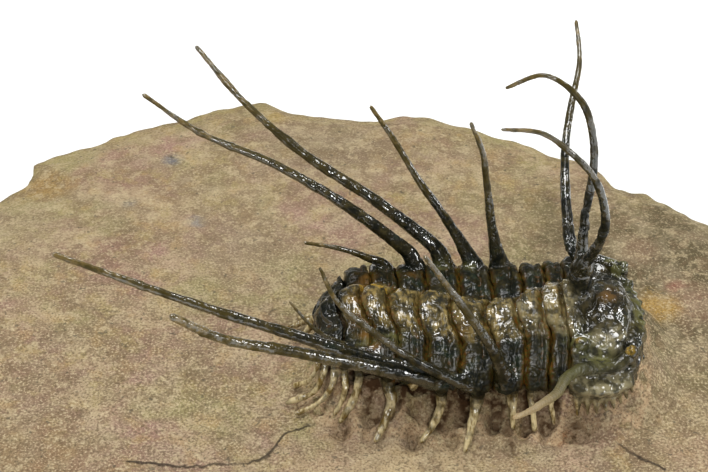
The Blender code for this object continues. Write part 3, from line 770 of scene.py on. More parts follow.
def fringe(side):
    """The short spines on one side, longest at the corner of the cheek."""
    made = []
    splay_ahead, splay_out = FRINGE_SPLAY
    for k in range(FRINGE_COUNT):
        share = math.sin(FRINGE_TURN * k / (FRINGE_COUNT - 1))
        ahead, length, radius = (float(np.interp(share, (0, 1), ends))
                                 for ends in (FRINGE_AHEAD, FRINGE_LENGTH, FRINGE_RADIUS))
        root = edge_root(HEAD_SECTIONS, ahead, side, FRINGE_ROOT)
        tip = root + (splay_ahead * share * length, side * splay_out * length, -length - FRINGE_ROOT[1])
        made.append(Spine(radius, FRINGE_TAPER * radius, (root, (root + tip) / 2, tip)))
    return made


def filled(top, base):
    """Rings over the back, closed by points straight below them at the heights of the base."""
    below = top.copy()
    below[..., 2] = base
    return np.concatenate([top, below[:, ::-1]], axis=1)


def ball(centre, radius, rings=12, sides=20):
    """A sphere as a stack of circles, closed at its poles by tiny rings."""
    angle = np.linspace(0.02, math.pi - 0.02, rings)
    centres = np.asarray(centre) + np.cos(angle)[:, None] * (0.0, 0.0, -radius)
    turn = np.linspace(0.0, 2.0 * math.pi, sides, endpoint=False)
    circle = np.stack([np.cos(turn), np.sin(turn), np.zeros(sides)], axis=-1)
    return loft(centres[:, None] + radius * np.sin(angle)[:, None, None] * circle)


def head_relief(points):
    """Furrows, ridges and beads, and the calcite's own surface."""
    height = BEAD_HEIGHT * spots(points, RIM_BEADS)
    mirrored = points * (1, -1, 1)
    for route, width, amount in HEAD_STROKES:
        height += amount * np.maximum(stroke(points, route, width), stroke(mirrored, route, width))
    return height + calcite_relief(points, 91, 0.04)


def cephalon():
    """The head shield with everything that grows from it, fused."""
    ahead = np.linspace(HEAD_SECTIONS[0].ahead, HEAD_SECTIONS[-1].ahead, HEAD_ROWS)
    section = sections_at(HEAD_SECTIONS, ahead)
    across = across_shares(HEAD_COLUMNS)
    base = np.where(np.abs(across) < HEAD_FLOOR, HEAD_BASE, section.edge - RIM)
    solids = [loft(filled(arch(section, across), base), paired=True)]
    solids.append(spine_solid(TRUNK, flare=1.3, flare_length=2.0))
    shorts = fringe(-1) + fringe(1)
    for k, spine in enumerate(GENAL_SPINES):
        solids.append(spine_solid(spine, flare=0.0, seed=3 + k))
    for k, spine in enumerate(HORNS):
        solids.append(spine_solid(spine, flare=0.3, seed=13 + k))
    for k, spine in enumerate(shorts):
        solids.append(spine_solid(spine, flare=0.1, knob=0.03, seed=k))
    for side in (-1, 1):
        bead = np.array(EYE_PLACE) * (1, side, 1)
        stalk = EYE_STALK._replace(route=bead + EYE_STALK.route)
        solids.append(spine_solid(stalk, flare=0.4, flare_length=0.6))
        solids.append(ball(bead, EYE_RADII[side]))
        solids.append(ball(np.array(KNOB_PLACE) * (1, side, 1), KNOB_RADIUS))
    longs = [Spine(1, 1, spine.route[4:]) for spine in GENAL_SPINES]
    longs += [Spine(1, 1, spine.route[1:]) for spine in HORNS]
    piece = sculpt("head_shield", solids, head_relief, lambda points: body_tints(points, longs, shorts),
                   HEAD_HOLLOWS)
    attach(piece, "root")
    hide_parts("cephalon")
    return piece


head = cephalon()

# %% [markdown]
# ## Tail shield
# The tail is a short plate with a tapering axis. Its ribs run out into curved border spines, so it is lofted
# and fused in the same way, with four spines on each side.

# %% Tail
TAIL_SPINES = (
    ((-1.3, -6.4, 5.6), (-1.1, -7.9, 4.2), (-1.5, -8.7, 2.5), (-2.6, -9.6, 0.5)),
    ((-2.4, -5.6, 5.6), (-2.7, -7.4, 4.3), (-4.2, -8.5, 2.2), (-7.6, -9.2, 0.4)),
    ((-3.4, -4.2, 5.8), (-4.1, -6.6, 4.4), (-5.3, -7.2, 2.4), (-8.9, -7.2, 0.5)),
    ((-4.0, -2.8, 5.8), (-4.9, -5.0, 4.2), (-5.9, -5.0, 2.4), (-7.9, -4.2, 0.7)),
)
TAIL_SPINE_RADIUS = 0.55
TAIL_GAP = 0.15
TAIL_ROWS = 30
TAIL_COLUMNS = 121


def pygidium():
    """The tail shield with its border spines, fused."""
    ahead = np.linspace(SEGMENT_ENDS[-1] - TAIL_GAP, SECTIONS[0].ahead, TAIL_ROWS)
    section = sections_at(SECTIONS, ahead)
    top = arch(section, across_shares(TAIL_COLUMNS))
    solids = [loft(filled(top, section.edge - RIM), paired=True)]
    shorts = [lower_spine(route, side, TAIL_SPINE_RADIUS) for side in (-1, 1) for route in TAIL_SPINES]
    for k, spine in enumerate(shorts):
        solids.append(spine_solid(spine, flare=0.3, flare_length=0.8, knob=0.15, seed=k))
    piece = sculpt("tail_shield", solids, lambda points: calcite_relief(points, 77),
                   lambda points: body_tints(points, (), shorts))
    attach(piece, "root")
    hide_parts("pygidium")
    return piece


tail = pygidium()

# %% [markdown]
# ## Block of limestone
# The block is one closed surface on a polar grid about the animal's foot. Rings start on top of the core that
# carries the animal, fall to the bedding face, spread to the broken outline and go down its side to the flat
# underside. Crowding them near the foot spends the detail where the preparation tools left their marks: a
# ragged bank of rock, hollows in front of it, and a groove along every short spine.

# %% Block
BLOCK_SIZE = np.array([122.0, 106.0])
BLOCK_CORNERS = (
    (1.00, 0.06), (0.92, 0.34), (0.77, 0.52), (0.68, 0.61), (0.62, 0.63), (0.57, 0.70), (0.39, 0.83),
    (0.18, 0.93), (0.10, 0.94), (0.05, 0.91), (-0.03, 0.92), (-0.17, 0.96), (-0.22, 1.00), (-0.45, 0.91),
    (-0.66, 0.79), (-0.75, 0.72), (-0.77, 0.64), (-0.91, 0.46), (-1.00, 0.04), (-0.95, -0.40),
    (-0.78, -0.76), (-0.45, -0.96), (-0.10, -0.98), (0.34, -1.00), (0.72, -0.84), (0.93, -0.46),
)
BLOCK_SIDES = 620
FOOT = np.array([16.0, -8.0])
FOOT_HALF = (20.6, 10.3)
FOOT_POWER = 4
INSIDE_SHARES = np.array([0.02, 0.35, 0.7, *np.linspace(0.84, 0.99, 12)])
TOP_RINGS = 106
CROWDING = 1.25
SIDE_RINGS = 30
UNDER_SHARES = np.array([0.66, 0.33, 0.02])
WORKED_ZONE = (2.5, 6.5)
FAR_NARROWER = 3.5
PEDESTAL = 2.6
PEDESTAL_REACH = 1.8
RIM_REACH = 3.5
FALL = np.array([(0.0, 0.0), (0.2, 0.0), (0.55, 0.15), (0.78, 0.6), (0.92, 1.5), (1.0, 2.9)])
BANK = np.array([(-0.8, 5.0), (0.2, 3.6), (2.2, 2.0), (4.8, 0.0)])
BANK_AT_TAIL = 0.5

# Hollows in the bedding face beside the animal: x, y, width, depth
HOLLOWS = np.array([
    (2.4, -17.9, 1.5, 2.4), (7.3, -18.8, 1.2, 1.8), (10.8, -19.0, 1.2, 1.8), (14.0, -19.2, 1.2, 1.8),
    (17.9, -19.7, 1.7, 2.4), (21.9, -19.4, 1.2, 2.6), (24.4, -19.4, 1.2, 2.6), (28.0, -20.2, 1.5, 1.8),
    (7.6, -21.8, 0.8, 0.9), (-1.2, -19.8, 1.0, 1.0), (12.4, -22.0, 0.7, 0.8), (19.4, -23.0, 0.8, 0.8),
])
GROOVE_DEPTH = 0.25
GROOVE_WIDTH = 0.9
GROOVE_POINTS = 24


def block_rim(angles, direction):
    """Distance from the foot's middle to the broken rim in every direction, with notches of two sizes."""
    away = np.array(BLOCK_CORNERS) * BLOCK_SIZE / 2 - FOOT
    bearing = np.unwrap(np.arctan2(away[:, 1], away[:, 0]))
    turned = bearing[0] + np.mod(angles - bearing[0], 2.0 * math.pi)
    closed = np.vstack([away, away[:1]])
    knots = [*bearing, bearing[0] + 2 * math.pi]
    rim = np.hypot(np.interp(turned, knots, closed[:, 0]), np.interp(turned, knots, closed[:, 1]))
    edge = np.column_stack([direction * rim[:, None], np.zeros(len(rim))])
    return rim + 0.7 * noise(edge, 6.0, 3) + 0.35 * noise(edge, 1.7, 4) - 0.6


def bank_height(place, beyond):
    """Height of the rock left round the foot, with a ragged edge. It is lower by the tail."""
    ragged = beyond + (0.9 * noise(place, 3.2, 13) + 0.35 * noise(place, 1.3, 14))
    lower = 1.0 - (1.0 - BANK_AT_TAIL) * rise(-place[:, 0], -2.0, 3.0)
    return np.interp(ragged, *BANK.T) * np.where(beyond > 0.0, lower, 1.0)


def tool_marks(place):
    """Lumps, ridges and pockets that the preparation tools left, in millimetres."""
    marks = 0.45 * noise(place, 2.3, 4) + 0.25 * noise(place, 1.05, 5)
    marks = marks - 0.35 * np.abs(noise(place, (1.7, 3.0, 1), 10))
    return 1.4 * marks - 0.9 * rise(noise(place, (1.5, 2.1, 1), 21), 0.15, 0.5)


def hollow_places(place):
    """How near a place is to each hollow, with ragged edges: exp(-(distance / width)^2)."""
    away = np.linalg.norm(place[:, None, :2] - HOLLOWS[:, :2], axis=2)
    away = away * (1.0 + 0.4 * noise(place, 1.4, 15))[:, None]
    return np.exp(-(away / HOLLOWS[:, 2]) ** 2)


def groove_limit(place):
    """The height the rock may reach beside the short spines, so that each lies half free in a groove.

    Over a spine's centre line it is the line's height - depth, and beside it it rises by (away / width)^2.
    """
    limit = np.full(len(place), np.inf)
    for route in (*LOWER_SPINES.values(), *TAIL_SPINES):
        for side in (-1, 1):
            line = np.array(route) * (1, -side, 1) + DATUM
            flat = line * (1, 1, 0)
            away, share = nearest_on(place, flat, GROOVE_POINTS)
            knots = np.concatenate([[0.0], np.cumsum(np.linalg.norm(np.diff(flat, axis=0), axis=1))])
            level = np.interp(share, knots / knots[-1], line[:, 2])
            limit = np.minimum(limit, level - GROOVE_DEPTH + (away / GROOVE_WIDTH) ** 2)
    return limit


def side_and_underside(top, rim, direction):
    """The broken side, with ripples that fade towards its edges, and the flat underside."""
    down = np.linspace(0.0, 1.0, SIDE_RINGS + 1)[1:, None]
    low = top[-1, :, 2] * (1.0 - down)
    flat = np.broadcast_to(top[-1, :, :2], (SIDE_RINGS, BLOCK_SIDES, 2))
    place = np.dstack([flat, low]).reshape(-1, 3)
    shift = 0.8 * noise(place, 7.0, 6) + 0.35 * noise(place, 2.2, 7) + 0.15 * noise(place, 0.9, 8)
    shift = shift.reshape(low.shape) * np.sin(math.pi * np.clip(down, 0, 0.97)) ** 0.5 - 0.9 * down**6
    side = np.dstack([FOOT + direction * (rim + shift)[..., None], low])
    reach = UNDER_SHARES[:, None] * np.linalg.norm(side[-1, :, :2] - FOOT, axis=1)
    under = np.dstack([FOOT + direction * reach[..., None], np.zeros(reach.shape)])
    return np.concatenate([side, under])


def limestone_block():
    """The block with its core, as one closed surface."""
    angles = np.linspace(0.0, 2.0 * math.pi, BLOCK_SIDES, endpoint=False)
    direction = np.column_stack([np.cos(angles), np.sin(angles)])
    foot = ((np.abs(direction) / FOOT_HALF) ** FOOT_POWER).sum(axis=1) ** (-1.0 / FOOT_POWER)
    rim = block_rim(angles, direction)
    spread = np.linspace(0.0, 1.0, TOP_RINGS)[:, None] ** CROWDING
    reach = np.concatenate([INSIDE_SHARES[:, None] * foot, foot + (rim - foot) * spread])
    share = np.concatenate([np.zeros(len(INSIDE_SHARES)), spread[:, 0]]).repeat(BLOCK_SIDES)
    flat = FOOT + direction * reach[..., None]
    place = np.dstack([flat, np.zeros_like(reach)]).reshape(-1, 3)
    beyond = (reach - foot).ravel()
    height = DATUM[2] - np.interp(share, *FALL.T) + bank_height(place, beyond)

    near, ahead = (np.tile(weight, len(reach)) for weight in (rise(-direction[:, 1], -0.1, 0.5),
                                                              rise(direction[:, 0], 0.3, 0.9)))
    widened = beyond + FAR_NARROWER * (1.0 - near)
    worked = 1.0 - rise(widened + 1.8 * noise(place, 3.5, 9), *WORKED_ZONE)
    hollow = hollow_places(place)
    pedestal = PEDESTAL * ahead * np.exp(-np.clip(beyond, 0.0, None) / PEDESTAL_REACH) * (beyond > 0.0)
    bumps = pedestal + 0.35 * noise(place, 14.0, 1) + 0.12 * noise(place, 4.0, 2)
    bumps = bumps + 0.06 * noise(place, 1.4, 3) + worked * tool_marks(place)
    bumps = bumps - (hollow * HOLLOWS[:, 3]).max(axis=1)
    height = np.minimum(height + bumps, groove_limit(place))
    top = np.dstack([flat, height.reshape(reach.shape)])

    solid = loft(np.concatenate([top, side_and_underside(top, rim, direction)]) - DATUM)
    rest = np.zeros(len(solid.points) - len(place))
    # Painted shade: darker under the edge of the animal and in the hollows beside it.
    painted_shade = np.maximum(rise(-widened + noise(place, 1.6, 12), -1.6, 0.4), hollow.max(axis=1))
    weathered = np.exp(-(rim - reach).ravel() / RIM_REACH)
    piece = finished("limestone_block", mesh_of("block", solid.points, solid.faces), solid.points, {
        "worked": np.concatenate([worked, rest]), "painted_shade": np.concatenate([painted_shade, rest]),
        "rim": np.concatenate([weathered, rest])})
    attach(piece, "root")
    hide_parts("matrix_slab")
    return piece


block = limestone_block()

# %% [markdown]
# ## Materials
# Colours are sRGB hex values turned to linear by one function, and one small function adds a node. A finish
# is a stack of thin colours. Each lies over the ones below it by the product of a few shares from 0 to 1, and
# a share comes from noise of a real grain size, from an attribute of the mesh, or from both.

# %% Node helpers
Grain = namedtuple("Grain", "size detail roughness stretch", defaults=(2.0, 0.5, None))


def colour(text):
    """Linear RGBA from an sRGB hex value. A socket is passed on as it is."""
    if not isinstance(text, str):
        return text
    value = np.array([int(text[k:k + 2], 16) for k in (1, 3, 5)]) / 255.0
    linear = np.where(value <= 0.04045, value / 12.92, ((value + 0.055) / 1.055) ** 2.4)
    return (*linear.tolist(), 1.0)


def add(tree, kind, inputs=None, **settings):
    """Add a shader node, set its properties, and fill its inputs with values or link them to outputs."""
    made = tree.nodes.new("ShaderNode" + kind)
    for name, value in settings.items():
        setattr(made, name, value)
    for name, value in (inputs or {}).items():
        if isinstance(value, bpy.types.NodeSocket):
            tree.links.new(value, made.inputs[name])
        else:
            made.inputs[name].default_value = value
    return made


def new_material(name, constants):
    """A material with only its Principled shader, and constant numbers on that shader's own inputs."""
    made = bpy.data.materials.new(name)
    made.use_nodes = True
    shader = made.node_tree.nodes["Principled BSDF"]
    for socket, number in constants.items():
        shader.inputs[socket].default_value = number
    return made, made.node_tree, shader


def value_of(tree, source):
    """What a source stands for: noise of a grain in millimetres, a named attribute, or a value as it is."""
    if isinstance(source, Grain):
        place = add(tree, "TexCoord").outputs["Object"]
        if source.stretch:
            place = add(tree, "Mapping", {"Vector": place, "Scale": source.stretch}).outputs["Vector"]
        return add(tree, "TexNoise", {"Vector": place, "Scale": 1.0 / (source.size * MM),
                                      "Detail": source.detail, "Roughness": source.roughness}).outputs["Fac"]
    if isinstance(source, str):
        return add(tree, "Attribute", attribute_name=source).outputs["Fac"]
    return source


def share_of(tree, source, low, high, start=0.0, end=1.0):
    """Stretch the part of a source between low and high over start to end, by 3t^2 - 2t^3."""
    inputs = {"Value": value_of(tree, source), "From Min": low, "From Max": high,
              "To Min": start, "To Max": end}
    return add(tree, "MapRange", inputs, interpolation_type="SMOOTHSTEP").outputs["Result"]


def calculate(tree, value, *steps):
    """Carry a value through steps of arithmetic, each (operation, second value, perhaps a third)."""
    for operation, *others in steps:
        inputs = dict(enumerate((value, *others)))
        value = add(tree, "Math", inputs, operation=operation).outputs["Value"]
    return value


def lay(tree, under, over, *shares):
    """Lay one colour over another by the product of shares, each a source or (source, low, high, ...).

    A pair of colours with a share of its own is mixed first.
    """
    factors = [share_of(tree, *share) if type(share) is tuple else value_of(tree, share) for share in shares]
    factor = calculate(tree, factors[0], *(("MULTIPLY", other) for other in factors[1:]))
    if type(over) is tuple:
        over = lay(tree, *over)
    inputs = {0: factor, 6: colour(under), 7: colour(over)}
    return add(tree, "Mix", inputs, data_type="RGBA", blend_type="MIX").outputs[2]


def bump(tree, socket, *layers):
    """Link a chain of bumps to a normal input. Each is (grain, height in millimetres)."""
    below = {}
    for grain, height in layers:
        inputs = {"Height": value_of(tree, grain), "Strength": 1.0, "Distance": height * MM, **below}
        below = {"Normal": add(tree, "Bump", inputs).outputs["Normal"]}
    tree.links.new(below["Normal"], socket)


print("middle grey in linear light:", round(colour("#808080")[0], 3))

# %% [markdown]
# ### Coated calcite
# The shell is black to olive calcite, golden brown on the rings, rusty at the joints and in the furrows,
# browner towards the tips of the spines and pale on the short ones. A thin clear coating makes it look wet.
# The coating is smooth but follows the lumps below and has worn off in places, so the reflections gather in
# clusters of small sharp glints.

# %% Coated calcite
BROAD = Grain(3.2, 3.0)
MIDDLING = Grain(1.1, 3.0)
FINE = Grain(0.35)
STREAKS = Grain(0.7, 3.0, 0.6, (1.0, 0.3, 0.5))
WEAR = Grain(2.4)


def coated_calcite():
    """Dark calcite under a clear coating."""
    made, tree, shader = new_material("coated_calcite", {
        "IOR": 1.5, "Specular IOR Level": 0.08, "Coat Roughness": 0.04, "Coat IOR": 1.85})
    golden = calculate(tree, value_of(tree, "tip"), ("ADD", share_of(tree, MIDDLING, 0.3, 0.7, -0.2, 0.2)))
    tone = "#0d100a"
    for layer in (
        ("#1f1c0c", (BROAD, 0.40, 0.60)),  # brown in the black
        ("#1a2318", (WEAR, 0.54, 0.66, 0.0, 0.8)),  # green in the black
        ("#4d4424", (MIDDLING, 0.53, 0.68, 0.0, 0.22)),  # small olive patches
        ("#94804c", "ring", (MIDDLING, 0.38, 0.62, 0.15, 0.8), (STREAKS, 0.38, 0.58, 0.2, 1.0)),
        # Paler grey, partly painted sheen, on the head, the cheek roll and the front rings.
        ("#9c9270", "grey_and_sheen", (MIDDLING, 0.40, 0.6, 0.2, 0.9)),  # greyer parts of the head
        ("#6f6640", (FINE, 0.55, 0.72, 0.0, 0.15)),  # fine grain
        ("#54391a", ("hollow", 0.55, 1.0), (BROAD, 0.44, 0.54), 0.6),  # rust in furrows
        (("#6b4218", "#54501f", (FINE, 0.4, 0.6)), "seam", (Grain(1.6, 3.0), 0.40, 0.56, 0.25, 1.0)),
        ("#66653a", "green", (MIDDLING, 0.35, 0.6)),
        ("#64471c", "amber", (MIDDLING, 0.3, 0.58)),
        ("#453b18", (golden, 0.10, 0.8, 0.0, 0.9)),  # long spines turn brown
        ("#6e5c34", (golden, 0.75, 1.1, 0.0, 0.9)),  # and paler at the tip
        (("#4c4a26", "#9a8560", ("tip", 0.15, 0.9)), "pale", (MIDDLING, 0.3, 0.6, 0.7, 1.0)),
        (("#6f5a2c", "#c9b78a", (STREAKS, 0.38, 0.60)), "short", (MIDDLING, 0.34, 0.54, 0.5, 1.0)),
        ("#a0812f", ("brass", 0.3, 0.6), (FINE, 0.40, 0.55, 0.3, 1.0)),  # yellow arcs and eye
    ):
        tone = lay(tree, tone, *layer)
    tree.links.new(tone, shader.inputs["Base Color"])
    tree.links.new(share_of(tree, FINE, 0.35, 0.7, 0.35, 0.6), shader.inputs["Roughness"])
    bump(tree, shader.inputs["Normal"], (Grain(0.5, 3.0), 0.10))
    bump(tree, shader.inputs["Coat Normal"], (Grain(0.8, 1.0), 0.13), (Grain(0.3, 1.0), 0.02))
    gloss = calculate(tree, value_of(tree, "gloss"), ("MULTIPLY_ADD", 0.8, 0.2))
    matt = calculate(tree, value_of(tree, "pale"), ("MULTIPLY", 0.8))
    coat = calculate(tree, share_of(tree, WEAR, 0.42, 0.54, 0.15, 1.0),
                     ("MULTIPLY", gloss), ("SUBTRACT", matt), ("MAXIMUM", 0.1))
    tree.links.new(coat, shader.inputs["Coat Weight"])
    return made


calcite = coated_calcite()
for piece in (*segments, head, tail):
    piece.data.materials.append(calcite)
print(calcite.name, "has", len(calcite.node_tree.nodes), "nodes")

# %% [markdown]
# ### Limestone
# Scraped limestone is matt. Its colour drifts from pinkish brown to olive beige over centimetres, with a fine
# even grain of a few tenths of a millimetre, ochre along the weathered far edge, and a few stains. Painted
# shade darkens the rock under the animal, in the hollows beside it and towards the right. Cracks are drawn as
# distances to lines, shaken by noise so that they wander.

# %% Limestone
CLOUD = Grain(5.0, 4.0, 0.6)
GRIT = Grain(0.32, 3.0, 0.6)
SHAKE = 1.2
BEDDING = DATUM[2] * MM

# Broad stains, and one patch of painted shade: x, y and width, colour, strength
STAINS_AND_SHADE = (
    ((6.0, -36.0, 22.0), "#b8a27c", 0.85), ((-42.0, -30.0, 20.0), "#876a50", 0.7),
    # The wide dark patch at (44, 10) is painted shade: darker to the right, as the light falls off.
    ((48.0, -24.0, 16.0), "#947c60", 0.6), ((44.0, 10.0, 34.0), "#554b32", 1.0),
    ((-48.0, 22.0, 12.0), "#978a68", 0.6), ((-3.4, 40.0, 14.0), "#786b52", 0.6),
    ((-15.0, 17.0, 12.0), "#83745b", 0.6), ((26.4, -21.2, 1.8), "#a3652e", 0.8),
    ((28.0, -24.0, 5.0), "#b89c80", 0.7), ((-44.4, 31.3, 6.0), "#94733a", 0.7),
    ((-26.0, 36.5, 2.4), "#56606e", 0.85), ((-31.4, 26.5, 1.9), "#565b60", 0.8),
    ((-21.5, 22.1, 2.0), "#6c757e", 0.8), ((-0.5, 20.0, 7.0), "#8a6860", 0.7),
    ((42.9, 7.8, 2.6), "#7c4438", 1.0), ((45.0, 4.5, 6.0), "#94705c", 0.6),
    ((38.5, 15.5, 5.0), "#93765f", 0.5), ((40.4, 3.7, 5.0), "#a78542", 0.9),
    ((-11.4, 47.4, 4.0), "#a08a55", 0.8), ((4.0, 46.5, 3.0), "#93804f", 0.7),
)
STAIN_EDGE = (1.5, 0.7)

# Cracks on the bedding face: route, width, strength
CRACKS = (
    (((-2.6, -14.9), (-5.3, -18.6), (-8.8, -20.2), (-10.8, -24.2), (-13.0, -25.3), (-17.4, -25.5),
      (-20.5, -26.2), (-28.3, -25.3)), 0.20, 0.85),
    (((-35.0, -26.4), (-40.5, -25.4), (-44.6, -26.4)), 0.16, 0.7),
    (((31.8, -20.8), (33.7, -23.0), (36.4, -25.1), (38.6, -26.5)), 0.20, 0.85),
    (((35.5, -18.5), (39.5, -21.0)), 0.12, 0.5),
    (((-47.4, 7.4), (-42.6, 7.0), (-34.4, 3.6), (-31.3, 3.0)), 0.12, 0.35),
)
CRACK_EDGE = (1.8, 0.5)


def near_line(tree, place, start, end):
    """Distance from a place to a straight line between two points of the bedding face."""
    first = np.array([*start, DATUM[2]]) * MM
    whole = np.array([*end, DATUM[2]]) * MM - first
    length = float(np.linalg.norm(whole))
    heading = tuple((whole / length).tolist())
    inputs = {0: place, 1: tuple(first.tolist())}
    from_start = add(tree, "VectorMath", inputs, operation="SUBTRACT").outputs[0]
    along = add(tree, "VectorMath", {0: from_start, 1: heading}, operation="DOT_PRODUCT").outputs["Value"]
    along = add(tree, "MapRange", {"Value": along, "From Max": length, "To Max": length}).outputs["Result"]
    foot = add(tree, "VectorMath", {0: heading, "Scale": along}, operation="SCALE").outputs[0]
    return add(tree, "VectorMath", {0: from_start, 1: foot}, operation="DISTANCE").outputs["Value"]


def lay_patch(tree, tone, place, spot, tint, strength):
    """Lay a stain, or a patch of painted shade, with a cloudy edge over a tone."""
    x, y, width = spot
    middle = (x * MM, y * MM, BEDDING)
    away = add(tree, "VectorMath", {0: place, 1: middle}, operation="DISTANCE").outputs["Value"]
    ragged = calculate(tree, value_of(tree, CLOUD), ("MULTIPLY_ADD", width * MM, away))
    outer, inner = (edge * width * MM for edge in STAIN_EDGE)
    return lay(tree, tone, tint, (ragged, outer, inner, 0.0, strength))


def crack(tree, tone, place, route, width, strength):
    """Draw a dark crack along a route over a tone."""
    gap = 1.0
    for start, end in zip(route[:-1], route[1:]):
        gap = calculate(tree, gap, ("MINIMUM", near_line(tree, place, start, end)))
    outer, inner = (edge * width * MM for edge in CRACK_EDGE)
    return lay(tree, tone, "#2c2218", (gap, outer, inner, 0.0, strength))


def shaken(tree, place):
    """A place moved about in the bedding plane by noise, up to half the shake each way."""
    inputs = {"Vector": place, "Scale": 1.0 / (SHAKE * MM), "Detail": 3.0}
    wander = add(tree, "TexNoise", inputs).outputs["Color"]
    step = (SHAKE * MM, SHAKE * MM, 0.0)
    half = (SHAKE * MM / 2, SHAKE * MM / 2, 0.0)
    moved = add(tree, "VectorMath", {0: wander, 1: step, 2: place}, operation="MULTIPLY_ADD").outputs[0]
    return add(tree, "VectorMath", {0: moved, 1: half}, operation="SUBTRACT").outputs[0]


def limestone():
    """Mottled, scraped limestone."""
    made, tree, shader = new_material("scraped_limestone", {"Roughness": 0.85, "Specular IOR Level": 0.25})
    place = add(tree, "TexCoord").outputs["Object"]
    near = (add(tree, "SeparateXYZ", {"Vector": place}).outputs["Y"], -0.01, 0.03, 0.75, 0.4)
    tone = "#8f845b"
    for layer in (
        ("#98796a", (Grain(16.0, 3.0, 0.55), 0.42, 0.58)),  # olive drifts to pink
        ("#78644c", (Grain(22.0), 0.44, 0.60, 0.0, 0.5)),  # darker areas
        ("#806852", (Grain(9.0), 0.45, 0.60, 0.0, 0.6)),
        ("#b3a07c", (Grain(7.5), 0.50, 0.62, 0.0, 0.5)),  # and lighter ones
        ("#8a6a5a", (Grain(6.0, 5.0, 0.7), 0.50, 0.64, 0.0, 0.45)),  # ragged pink patches
        ("#9d8e58", (Grain(4.5, 5.0, 0.7), 0.51, 0.64, 0.0, 0.45)),  # ragged olive patches
        ("#a98c5c", (Grain(3.2, 3.0), 0.54, 0.66, 0.0, 0.4)),
        ("#938650", "rim", (CLOUD, 0.35, 0.6, 0.3, 0.9)),  # weathered far edge
    ):
        tone = lay(tree, tone, *layer)
    for spot in STAINS_AND_SHADE:
        tone = lay_patch(tree, tone, place, *spot)
    for layer in (
        ("#a8997c", (CLOUD, 0.45, 0.7, 0.0, 0.4)),  # pale bloom
        ("#77634a", (Grain(2.6, 4.0, 0.65), 0.48, 0.64, 0.0, 0.6)),  # dark mottling
        ("#b7a682", (Grain(1.7, 4.0, 0.7), 0.50, 0.64, 0.0, 0.5)),  # pale mottling
        ("#b79b78", "worked", (Grain(1.3, 3.0), 0.4, 0.6)),  # fresh tool marks
        ("#5f503b", (GRIT, 0.50, 0.66), near),  # dark grains
        ("#c4b492", (GRIT, 0.48, 0.32), near),  # pale grains
        ("#4a4538", (Grain(0.9), 0.66, 0.72, 0.0, 0.6)),  # a few dark specks
        # Painted shade, dark brown under the animal's edge and in the hollows beside it.
        ("#3f2912", "painted_shade", (Grain(1.3, 3.0), 0.40, 0.58, 0.3, 1.0)),  # dark under the animal
    ):
        tone = lay(tree, tone, *layer)
    wandering = shaken(tree, place)
    for line in CRACKS:
        tone = crack(tree, tone, wandering, *line)
    tree.links.new(tone, shader.inputs["Base Color"])
    bump(tree, shader.inputs["Normal"], (Grain(0.6, 4.0, 0.65, (0.6, 1.0, 1.0)), 0.30), (GRIT, 0.12))
    return made


rock = limestone()
block.data.materials.append(rock)
print(rock.name, "has", len(rock.node_tree.nodes), "nodes")

# %% [markdown]
# ## Floor, light and camera
# A plain pale floor and six soft lamps. Six small lamps between them light little, but each is one more sharp
# glint on the coating. The camera is at the photo's angle: 40 degrees above the bedding plane, square to the
# animal's right side.

# %% Floor
FLOOR_HALF = 1.2
FLOOR_DROP = 0.0002
corners = FLOOR_HALF * np.array([(-1, -1, 0), (1, -1, 0), (1, 1, 0), (-1, 1, 0)])
floor = bpy.data.objects.new("floor", mesh_of("floor", corners, [(0, 1, 2, 3)]))
bpy.context.scene.collection.objects.link(floor)
floor.location.z = -FLOOR_DROP
paper = new_material("white_paper", {
    "Base Color": colour("#fbfbf9"), "Roughness": 0.9, "Specular IOR Level": 0.0})[0]
floor.data.materials.append(paper)
floor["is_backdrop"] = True
print("floor:", 2 * FLOOR_HALF, "m square")

# %% Lights
LAMP_TARGET = Vector((0.015, -0.008, 0.03))

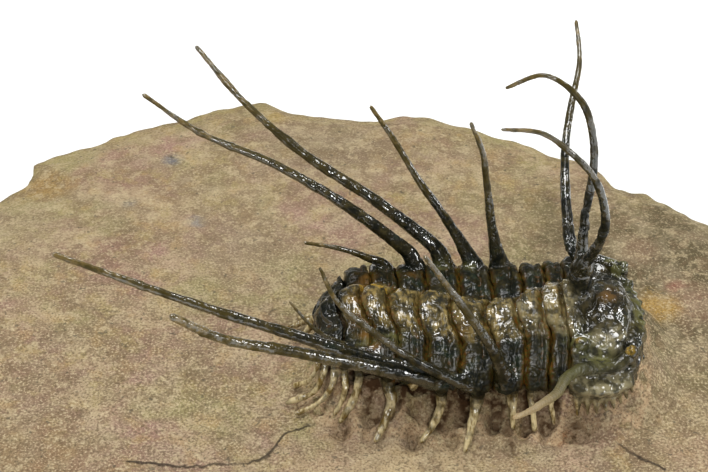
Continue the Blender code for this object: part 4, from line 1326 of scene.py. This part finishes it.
# Name, place in metres, size, power in watts
LAMPS = (
    ("overhead", (0.0, 0.02, 0.62), 0.26, 2.0),
    ("behind", (-0.10, 0.32, 0.48), 0.16, 0.9),
    ("front", (0.08, -0.47, 0.36), 0.12, 1.1),
    ("left", (-0.42, -0.14, 0.40), 0.15, 0.7),
    ("right", (0.40, 0.15, 0.42), 0.12, 0.4),
    ("low right", (0.50, 0.0, 0.13), 0.14, 0.8),
)
SPARKS = ((0.26, -0.34, 0.52), (-0.24, -0.32, 0.52), (0.02, 0.42, 0.42), (0.36, 0.22, 0.34),
          (-0.36, 0.16, 0.38), (0.04, -0.16, 0.62))
SPARK_SIZE = 0.03
SPARK_POWER = 0.12
WORLD_STRENGTH = 0.12


def soft_light(name, place, size, power):
    """A square area light that faces the animal."""
    lamp = bpy.data.lights.new(name, "AREA")
    lamp.shape = "SQUARE"
    lamp.size = size
    lamp.energy = power
    made = bpy.data.objects.new(name, lamp)
    bpy.context.scene.collection.objects.link(made)
    made.location = place
    made.rotation_euler = (LAMP_TARGET - Vector(place)).to_track_quat("-Z", "Y").to_euler()


for lamp in LAMPS:
    soft_light(*lamp)
for number, spark in enumerate(SPARKS):
    soft_light(f"spark_{number}", spark, SPARK_SIZE, SPARK_POWER)
world = bpy.data.worlds.new("studio")
bpy.context.scene.world = world
world.use_nodes = True
world.node_tree.nodes["Background"].inputs["Color"].default_value = (1.0, 1.0, 1.0, 1.0)
world.node_tree.nodes["Background"].inputs["Strength"].default_value = WORLD_STRENGTH
bpy.context.scene.view_settings.view_transform = "Standard"
print("lamps:", len(LAMPS), "soft and", len(SPARKS), "small")

# %% Camera
FRAME_WIDTH = 708
SENSOR = 36.0
ELEVATION = math.radians(40)
DISTANCE = 380.0
AIM = np.array([0.0, 8.2, 30.8])
PIXEL = 0.132

eye = AIM + DISTANCE * np.array([0.0, -math.cos(ELEVATION), math.sin(ELEVATION)])
camera = bpy.data.objects.new("camera", bpy.data.cameras.new("camera"))
bpy.context.scene.collection.objects.link(camera)
camera.location = eye * MM
camera.rotation_euler = (math.pi / 2 - ELEVATION, 0.0, 0.0)
camera.data.sensor_width = SENSOR
camera.data.lens = SENSOR * DISTANCE / (PIXEL * FRAME_WIDTH)
camera.data.clip_start = 0.01
bpy.context.scene.camera = camera
print("camera:", round(camera.data.lens, 1), "mm lens at", eye.round(1), "mm")

# %% Sizes, and the end
now_box = [list(corner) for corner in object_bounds()]
rounded = [[round(1000 * value, 1) for value in corner] for corner in now_box]
print("visual box", rounded, "mm")
